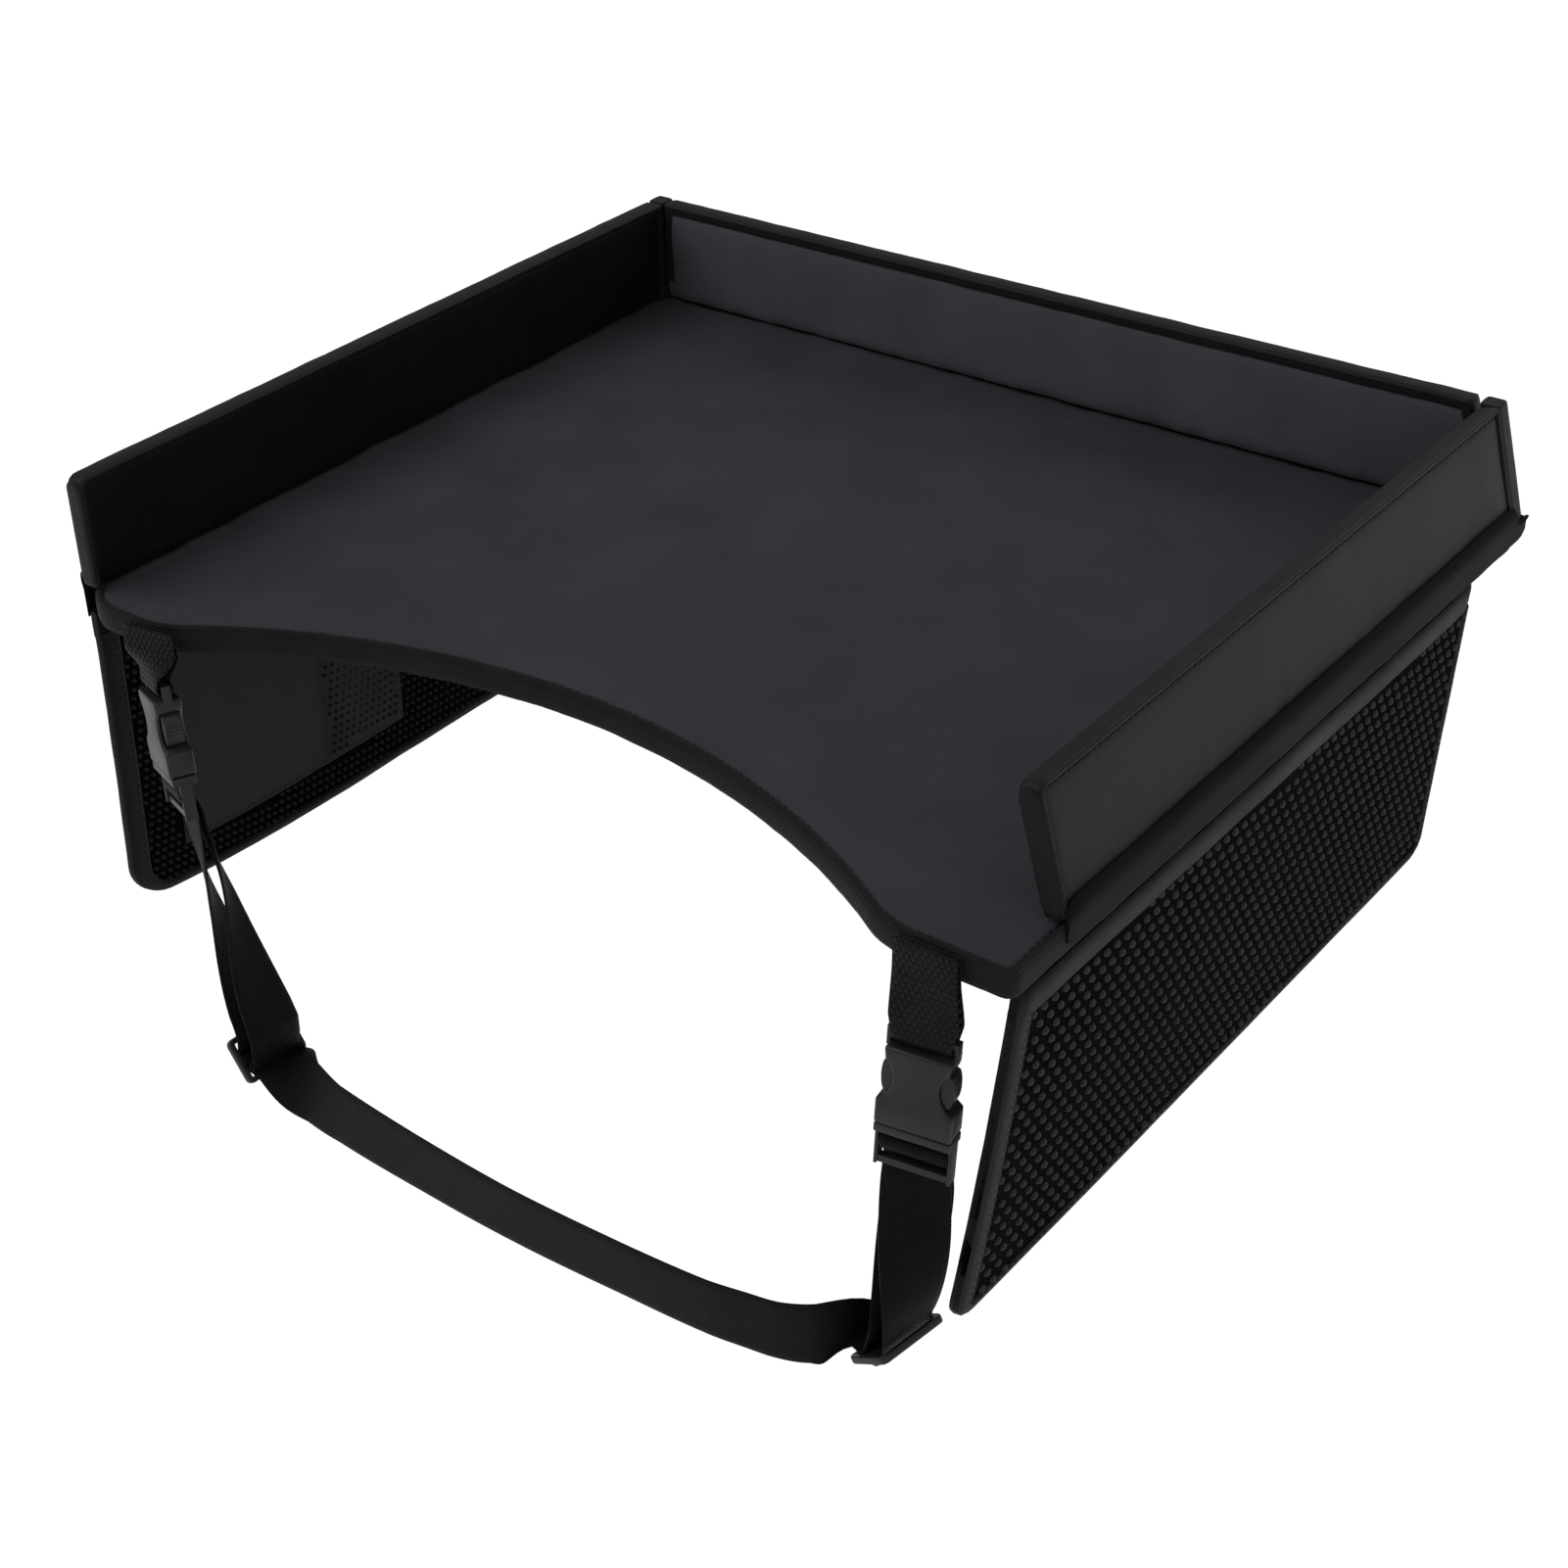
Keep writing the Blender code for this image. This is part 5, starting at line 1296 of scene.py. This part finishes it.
def strap_side(side):
    buckle = buckle_axes(side)
    slider = slider_axes(side)
    bar_low, bar_high = ladder_bar()
    bar = (bar_low + bar_high) / 2
    bar_radius = math.hypot(LADDER_BAR / 2, LADDER_BAR_THICKNESS / 2) + GAP + WEB_THICKNESS / 2
    foot_low, foot_high = ladder_foot()
    near = LADDER_FOOT_THICKNESS / 2 + GAP + STITCH_GAP + WEB_THICKNESS / 2
    far = near + WEB_THICKNESS + STITCH_GAP + GAP
    leave = foot_low - WEB_THICKNESS

    def in_buckle(y, z):
        return (buckle @ Vector((0.0, y, z)), buckle.col[0].to_3d(), WEB_WIDTH)
    middle = (foot_high + bar_low) / 2
    front = [
        in_buckle(-bar_radius * 0.87, bar - bar_radius / 2),
        in_buckle(0.0, middle + STITCH_GAP),
        in_buckle(near - GAP, foot_high + GAP),
        in_buckle(near, (foot_low + foot_high) / 2),
        in_buckle(near, leave),
    ]
    behind = [
        in_buckle(far, leave),
        in_buckle(far, (foot_low + foot_high) / 2),
        in_buckle(far - GAP, foot_high + GAP),
        in_buckle((far + bar_radius) / 2, middle + STITCH_GAP),
    ]
    loop = wrap((0.0, bar), bar_radius, buckle, -10, 190, WEB_WIDTH, 8)

    run_axis = -slider.col[2].to_3d()
    side_sign = -1.0 if slider.col[1].z > 0 else 1.0
    outside = slider.col[1].to_3d() * side_sign
    place = slider.translation
    across = slider.col[0].to_3d()
    turn_radius = math.hypot(SLIDER_BAR / 2, SLIDER_THICKNESS / 2) + GAP + WEB_THICKNESS / 2
    entry = (run_axis + outside) / math.sqrt(2)
    leaving = (run_axis - outside) / math.sqrt(2)
    turn = []
    for step in range(9):
        angle = math.radians(-45 + 90 * step / 8)
        spot = place + run_axis * (turn_radius * math.sin(angle)) + outside * (turn_radius * math.cos(angle))
        turn.append((spot, across, WEB_WIDTH))
    enter_spot = turn[0][0] - entry * SLIDER_RUN
    leave_spot = turn[-1][0] + leaving * SLIDER_RUN
    turn.append((leave_spot, across, WEB_WIDTH))
    down = -buckle.col[2].to_3d()
    reach = (enter_spot - front[-1][0]).length
    buckle_across = buckle.col[0].to_3d()
    arrival = (entry + run_axis * STRAP_LEAN_SHARE[side]).normalized() * reach
    power = TWIST_POWER[side]
    main = strap_run(front[-1][0], buckle_across, down * reach, enter_spot, across, arrival, power)
    main += [(enter_spot, across, WEB_WIDTH)]
    sewn_end = place + entry * (turn_radius - WEB_THICKNESS / 2 - STITCH_GAP) + leaving * STRAP_LAP[side]
    inward = across.cross(entry)
    sewn_gap = (sewn_end - turn[0][0]).dot(inward)
    sewn_place = turn[0][0] + entry * (sewn_end - turn[0][0]).dot(entry)
    guide = front[-1:] + main + [(sewn_place, across, WEB_WIDTH)]
    back_up = []
    for index in range(len(guide) - 1, 0, -1):
        share = index / (len(guide) - 1)
        spot, width_line, width = guide[index]
        away = width_line.cross(direction(guide, index)).normalized()
        opening = STRAP_OPENING[side] * OPENING_SHARE * share * (1 - share) ** 2
        distance = (far - near) * (1 - share) + sewn_gap * share + opening
        back_up.append((spot + away * distance, width_line, width))
    hem = []
    if side == "left":
        # The sewn end is folded back under itself
        fold = WEB_THICKNESS / 2 + STITCH_GAP / 2
        end = back_up[0][0]
        for step in range(7):
            angle = math.pi * step / 6
            spot = end - leaving * (fold - fold * math.cos(angle)) + entry * (fold * math.sin(angle))
            hem.append((spot, across, WEB_WIDTH))
        hem = [(hem[-1][0] - entry * SLIDER_BAR, across, WEB_WIDTH)] + hem[:0:-1]
    return hem + back_up + behind + loop + front + main + turn


def belt_middle(first, last):
    points = [(first[-2][0], first[-2][1]), (first[-1][0], first[-1][1])]
    for share, across in BELT_SHARES:
        across = Vector(across).normalized()
        rise = STAND_CLEARANCE + (WEB_WIDTH * across.z + WEB_THICKNESS * (1 - across.z)) / 2
        place = Vector((share[0] * HALF_WIDTH, share[1] * BELT_REACH, rise - STAND_HEIGHT))
        points.append((place, across))
    points += [(last[-1][0], -last[-1][1]), (last[-2][0], -last[-2][1])]
    rows = []
    for index in range(1, len(points) - 2):
        before, here, after, beyond = points[index - 1:index + 3]
        span = (after[0] - here[0]).length
        here_run = (after[0] - before[0]).normalized() * span
        after_run = (beyond[0] - here[0]).normalized() * span
        for step in range(8):
            share = step / 8
            if index == 1 and step == 0:
                continue
            place = hermite(here[0], here_run, after[0], after_run, share)
            rows.append((place, here[1].lerp(after[1], share).normalized(), WEB_WIDTH))
    return rows


def build_webbing():
    for side in SIDES:
        front, turn, back = tab_stations(side)
        piece = ribbon(f"tab_{side}_webbing", front + turn + back[::-1], TABWEB)
        dress(piece, "belt", (f"tab_{side}",))
        for k, index in enumerate((1, 9)):
            place, across, width = front[index]
            line = [place + across * (width * t) for t in np.linspace(-0.44, 0.44, 12)]
            face = -Vector((0, 0, 1)).cross(across).normalized()
            line = placed(TRAY_PLACE, [tuple(p + face * (WEB_THICKNESS / 2)) for p in line])
            name = f"tab_{side}_stitches_{'ab'[k]}"
            dress(stitches(name, line, tuple(face), THREAD, 0.0024, 0.0018, 0.00022), "belt")
    right = strap_side("right")
    left = strap_side("left")
    middle = belt_middle(right, left)
    flipped = [(place, -across, width) for place, across, width in reversed(left)]
    piece = ribbon("belt_webbing_strap", refined(right, 2) + refined(middle, 1) + refined(flipped, 2), BELT)
    dress(piece, "belt", ("belt_webbing",))


def solid(name, corners, faces, place):
    thing = link_mesh(name, corners, faces)
    thing.matrix_world = TRAY_PLACE @ place
    return thing


def prism(name, outline, low, high, place):
    """A flat outline in x and z, pushed along y from low to high."""
    count = len(outline)
    corners = [(x, low, z) for x, z in outline] + [(x, high, z) for x, z in outline]
    faces = [tuple(range(count)), tuple(range(2 * count - 1, count - 1, -1))]
    for index in range(count):
        after = (index + 1) % count
        faces.append((index, after, after + count, index + count))
    return solid(name, corners, faces, place)


def box_solid(name, low, high, place):
    outline = [(low[0], low[2]), (high[0], low[2]), (high[0], high[2]), (low[0], high[2])]
    return prism(name, outline, low[1], high[1], place)


def mirrored(points):
    return points + [(-x, z) for x, z in reversed(points)]


def carve(thing, joins=(), cuts=(), bevel=0.0004, segments=3, first_bevel=None):
    """Applies the joins and cuts to a solid, rounds its edges and shades it smooth."""
    if first_bevel:
        step = thing.modifiers.new("first", "BEVEL")
        step.width, step.segments, step.limit_method = first_bevel, 3, "ANGLE"
        step.angle_limit = math.radians(40)
    for tools, operation in ((joins, "UNION"), (cuts, "DIFFERENCE")):
        for tool in tools:
            step = thing.modifiers.new(tool.name, "BOOLEAN")
            step.operation, step.solver, step.object = operation, "EXACT", tool
    if bevel:
        step = thing.modifiers.new("edges", "BEVEL")
        step.width, step.segments, step.limit_method = bevel, segments, "ANGLE"
        step.angle_limit = math.radians(38)
        step.use_clamp_overlap = True
    bpy.context.view_layer.update()
    graph = bpy.context.evaluated_depsgraph_get()
    made = bpy.data.meshes.new_from_object(thing.evaluated_get(graph))
    thing.modifiers.clear()
    thing.data = made
    for tool in list(joins) + list(cuts):
        bpy.data.objects.remove(tool, do_unlink=True)
    made.shade_smooth()
    made.set_sharp_from_angle(angle=math.radians(42))
    made.uv_layers.new(name="weave")
    made.materials.clear()
    made.materials.append(PLASTIC)
    return thing


def build_socket(side):
    place = buckle_axes(side)
    centre = WAIST_HALF_WIDTH + SCOOP_RADIUS
    top = math.degrees(math.asin(HEAD_SHOULDER / SCOOP_RADIUS))
    low = math.degrees(math.acos((centre - BUCKLE_HALF_WIDTH) / SCOOP_RADIUS))
    scoop = arc((centre, 0.0), SCOOP_RADIUS, 180 - top, 180 + low, 16)
    half = [(HEAD_HALF_WIDTH - BUCKLE_WALL / 2, HEAD_TOP)] + scoop + [(BUCKLE_HALF_WIDTH, -MOUTH)]
    depth = BUCKLE_THICKNESS / 2
    body = prism(f"buckle_{side}_socket_shell", mirrored(half), -depth, depth, place)
    loop_half = [(HEAD_HALF_WIDTH, LOOP_TOP), (HEAD_HALF_WIDTH, HEAD_TOP - BUCKLE_WALL)]
    loop = prism("tool_loop", mirrored(loop_half), -LOOP_THICKNESS / 2, LOOP_THICKNESS / 2, place)
    slot_half = [(LOOP_SLOT_HALF_WIDTH, LOOP_TOP - LOOP_BAR), (LOOP_SLOT_HALF_WIDTH, LOOP_SLOT_BOTTOM)]
    slot = prism("tool_slot", mirrored(slot_half), -BUCKLE_THICKNESS, BUCKLE_THICKNESS, place)
    cavity_half = [
        (CAVITY_HALF_WIDTH - CAVITY_NARROW, CAVITY_TOP),
        (CAVITY_HALF_WIDTH - CAVITY_NARROW, CAVITY_STEP + CAVITY_NARROW),
        (CAVITY_HALF_WIDTH, CAVITY_STEP),
        (CAVITY_HALF_WIDTH, -MOUTH - CUT_OVERRUN),
    ]
    room = depth - BUCKLE_WALL
    cavity = prism("tool_cavity", mirrored(cavity_half), -room, room, place)
    carve(body, [loop], [slot, cavity], 0.00035, 3, BUCKLE_ROUNDING)
    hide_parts(f"buckle_{side}_socket")
    dress(body, "belt")


def build_plug(side):
    place = buckle_axes(side)
    room = BUCKLE_THICKNESS / 2 - BUCKLE_WALL - ARM_CLEARANCE
    collar_top = -MOUTH - GAP
    collar_low = collar_top - COLLAR_HEIGHT
    depth = LADDER_THICKNESS / 2
    shell = BUCKLE_THICKNESS / 2 - BUCKLE_ROUNDING / 2
    body = box_solid(
        f"buckle_{side}_plug_frame",
        (-BUCKLE_HALF_WIDTH, -shell, collar_low),
        (BUCKLE_HALF_WIDTH, shell, collar_top),
        place,
    )
    parts = [
        (ARM_SHOULDER, room, collar_low, -MOUTH + GAP),
        (TONGUE_HALF_WIDTH, TONGUE_THICKNESS / 2, collar_low, TONGUE_TOP),
        (BUCKLE_HALF_WIDTH - LADDER_POST / 2, LADDER_BAR_THICKNESS / 2, *ladder_bar()),
        (BUCKLE_HALF_WIDTH - LADDER_POST / 2, LADDER_FOOT_THICKNESS / 2, *ladder_foot()),
    ]
    tools = [box_solid(f"tool_{k}", (-w, -d, a), (w, d, b), place) for k, (w, d, a, b) in enumerate(parts)]
    for k, sign in enumerate((-1, 1)):
        edges = sorted((sign * BUCKLE_HALF_WIDTH, sign * (BUCKLE_HALF_WIDTH - LADDER_POST)))
        low = (edges[0], -depth, -LADDER_BOTTOM)
        high = (edges[1], depth, collar_low + BUCKLE_WALL)
        tools.append(box_solid(f"tool_post_{k}", low, high, place))
    carve(body, tools, [], 0.0003, 3, BUCKLE_ROUNDING / 2)
    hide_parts(f"buckle_{side}_plug")
    dress(body, "belt")


def build_arm(side, edge):
    place = buckle_axes(side)
    which = "inner" if edge * TAB_X[side] < 0 else "outer"
    root = Vector((edge * (ARM_INSIDE + ARM_WIDTH / 2), 0.0, -MOUTH + 2 * GAP))
    button_low = -BUTTON_HALF_HEIGHT - BUCKLE_ROUNDING
    bulge = BUTTON_REACH - ARM_SHOULDER
    half_swell = [(0.68, 0.93), (0.84, 0.72), (0.94, 0.45), (0.985, 0.2)]
    swell = [(a, -b) for a, b in half_swell] + [(1.0, 0.0)] + half_swell[::-1]
    outline = [(ARM_INSIDE, root.z), (ARM_INSIDE + ARM_WIDTH, root.z)]
    outline += [(ARM_SHOULDER, -MOUTH + ARM_SHOULDER - ARM_WIDTH), (ARM_SHOULDER, button_low)]
    outline += [(ARM_SHOULDER + bulge * a, BUTTON_HALF_HEIGHT * b) for a, b in swell]
    outline += [(ARM_NECK, -button_low), (ARM_NECK - BUCKLE_ROUNDING, ARM_TIP), (ARM_INSIDE, ARM_TIP)]
    local = [(edge * x, z) for x, z in outline]
    depth = BUCKLE_THICKNESS / 2 - BUCKLE_WALL - ARM_CLEARANCE
    arm = prism(f"latch_{side}_{which}_button", local, -depth, depth, place)
    ribs = []
    for k, z in enumerate((-0.0028, -0.0014, 0.0, 0.0014, 0.0028)):
        reach = edge * BUTTON_REACH
        low = (min(reach - 0.00025, reach + 0.0006), -depth * 0.72, z - 0.00028)
        high = (max(reach - 0.00025, reach + 0.0006), depth * 0.72, z + 0.00028)
        ribs.append(box_solid(f"tool_rib_{k}", low, high, place))
    carve(arm, [], ribs, 0.0003, 2)
    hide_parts(f"latch_arm_{side}_{which}")
    dress(arm, f"latch_{side}_{which}")


def build_slider(side):
    place = slider_axes(side)
    wide, tall, deep = SLIDER_HALF_WIDTH, SLIDER_HALF_HEIGHT, SLIDER_THICKNESS / 2
    corner = 0.0022
    half = arc((wide - corner, tall - corner), corner, 90, 0, 5)
    half += arc((wide - corner, corner - tall), corner, 0, -90, 5)
    plate = prism(f"slider_{side}_frame", mirrored(half), -deep, deep, place)
    inner = WEB_WIDTH / 2 + STITCH_GAP
    cuts = []
    for k, sign in enumerate((-1, 1)):
        heights = sorted((sign * SLIDER_BAR / 2, sign * (SLIDER_BAR / 2 + SLIDER_SLOT)))
        outline = mirrored([(inner, heights[1]), (inner, heights[0])])
        cuts.append(prism(f"tool_{k}", outline, -SLIDER_THICKNESS, SLIDER_THICKNESS, place))
    carve(plate, [], cuts, 0.0006, 3)
    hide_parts(f"slider_{side}")
    dress(plate, "belt")


# ---------------------------------------------------------------- stage

FLOOR_REACH, FLOOR_TONE = 6, 0.82
FLOOR_GLOW, FLOOR_GLOW_SHARE = 1.16, 0.86
WORLD_SEEN, WORLD_LIGHT = 0.68, 0.32
# Each lamp's name, place, target, size and power
LAMPS = [
    ("key", (-0.9, -0.9, 1.7), (0.0, 0.0, 0.12), 1.6, 18),
    ("rim", (0.4, 1.5, 1.3), (0.0, 0.0, 0.12), 1.2, 7),
    ("fill", (1.6, -0.6, 0.7), (0.0, 0.0, 0.10), 1.2, 5),
]
CAMERA_AZIMUTH, CAMERA_ELEVATION, CAMERA_ROLL = (math.radians(turn) for turn in (39.36, 33.23, -2.38))
CAMERA_PLACE = (0.51166, -0.66406, 0.59022)
CAMERA_SENSOR, CAMERA_LENS, CAMERA_SHIFT = 36, 60.9722, (0.055321, 0.029131)


def build_floor():
    """Pale floor that takes the tray's shadow and glows where the camera sees it."""
    far = FLOOR_REACH
    corners = [(-far, -far, 0), (far, -far, 0), (far, far, 0), (-far, far, 0)]
    floor = solid("floor", corners, [(0, 1, 2, 3)], Matrix.Translation(-TRAY))
    made = bpy.data.materials.new("pale floor")
    made.use_nodes = True
    tree = made.node_tree
    shader = tree.nodes["Principled BSDF"]
    shader.inputs["Base Color"].default_value = (FLOOR_TONE, FLOOR_TONE, FLOOR_TONE, 1)
    shader.inputs["Roughness"].default_value = 0.9
    shader.inputs["Specular IOR Level"].default_value = 0.1
    glow = tree.nodes.new("ShaderNodeEmission")
    glow.inputs["Strength"].default_value = FLOOR_GLOW
    seen = tree.nodes.new("ShaderNodeLightPath").outputs
    either = reckon(tree, "MAXIMUM", seen["Is Camera Ray"], seen["Is Glossy Ray"])
    most = reckon(tree, "MAXIMUM", either, seen["Is Transmission Ray"])
    blend = tree.nodes.new("ShaderNodeMixShader")
    tree.links.new(reckon(tree, "MULTIPLY", most, FLOOR_GLOW_SHARE), blend.inputs[0])
    tree.links.new(shader.outputs[0], blend.inputs[1])
    tree.links.new(glow.outputs[0], blend.inputs[2])
    tree.links.new(blend.outputs[0], tree.nodes["Material Output"].inputs["Surface"])
    floor.data.materials.append(made)


def build_world():
    """White surroundings, brighter where they are seen than where they light the tray."""
    world = bpy.data.worlds.new("studio")
    bpy.context.scene.world = world
    world.use_nodes = True
    tree = world.node_tree
    back = tree.nodes["Background"]
    back.inputs["Color"].default_value = (1, 1, 1, 1)
    seen = tree.nodes.new("ShaderNodeLightPath").outputs
    either = reckon(tree, "MAXIMUM", seen["Is Camera Ray"], seen["Is Transmission Ray"])
    tree.links.new(reckon(tree, "MULTIPLY_ADD", either, WORLD_SEEN, WORLD_LIGHT), back.inputs["Strength"])


def build_lamps():
    for name, place, target, size, power in LAMPS:
        light = bpy.data.lights.new(name, "AREA")
        light.shape = "DISK"
        light.size = size
        light.energy = power
        thing = bpy.data.objects.new(name, light)
        thing.location = place
        thing.rotation_euler = (Vector(target) - Vector(place)).to_track_quat("-Z", "Y").to_euler()
        bpy.context.scene.collection.objects.link(thing)


def build_camera():
    az, el, roll = CAMERA_AZIMUTH, CAMERA_ELEVATION, CAMERA_ROLL
    back_axis = Vector((math.sin(az) * math.cos(el), -math.cos(az) * math.cos(el), math.sin(el)))
    right = Vector((math.cos(az), math.sin(az), 0))
    up = back_axis.cross(right)
    rolled_right = right * math.cos(roll) + up * math.sin(roll)
    rolled_up = up * math.cos(roll) - right * math.sin(roll)
    turn = Matrix((rolled_right, rolled_up, back_axis)).transposed().to_4x4()
    lens = bpy.data.cameras.new("camera")
    lens.sensor_width = CAMERA_SENSOR
    lens.lens = CAMERA_LENS
    lens.shift_x, lens.shift_y = CAMERA_SHIFT
    lens.clip_start = 0.01
    camera = bpy.data.objects.new("camera", lens)
    camera.matrix_world = Matrix.Translation(CAMERA_PLACE) @ turn
    bpy.context.scene.collection.objects.link(camera)
    bpy.context.scene.camera = camera


bpy.context.scene.view_settings.view_transform = "Standard"
build_floor()
build_world()
build_lamps()
build_camera()
build_deck()
for each in ("left", "right", "back"):
    build_wall_padding(each)
    build_wall_cap(each)
    build_wall_stitches(each)
    build_flange(each)
build_end_tape("left")
build_end_tape("right")
build_back_root()
build_back_face()
for each in SIDES:
    build_gusset(each)
    build_panel_binding(each)
    build_panel_band(each)
    build_panel_mesh(each)
    build_pocket(each)
    build_socket(each)
    build_plug(each)
    build_arm(each, -1)
    build_arm(each, 1)
    build_slider(each)
build_webbing()
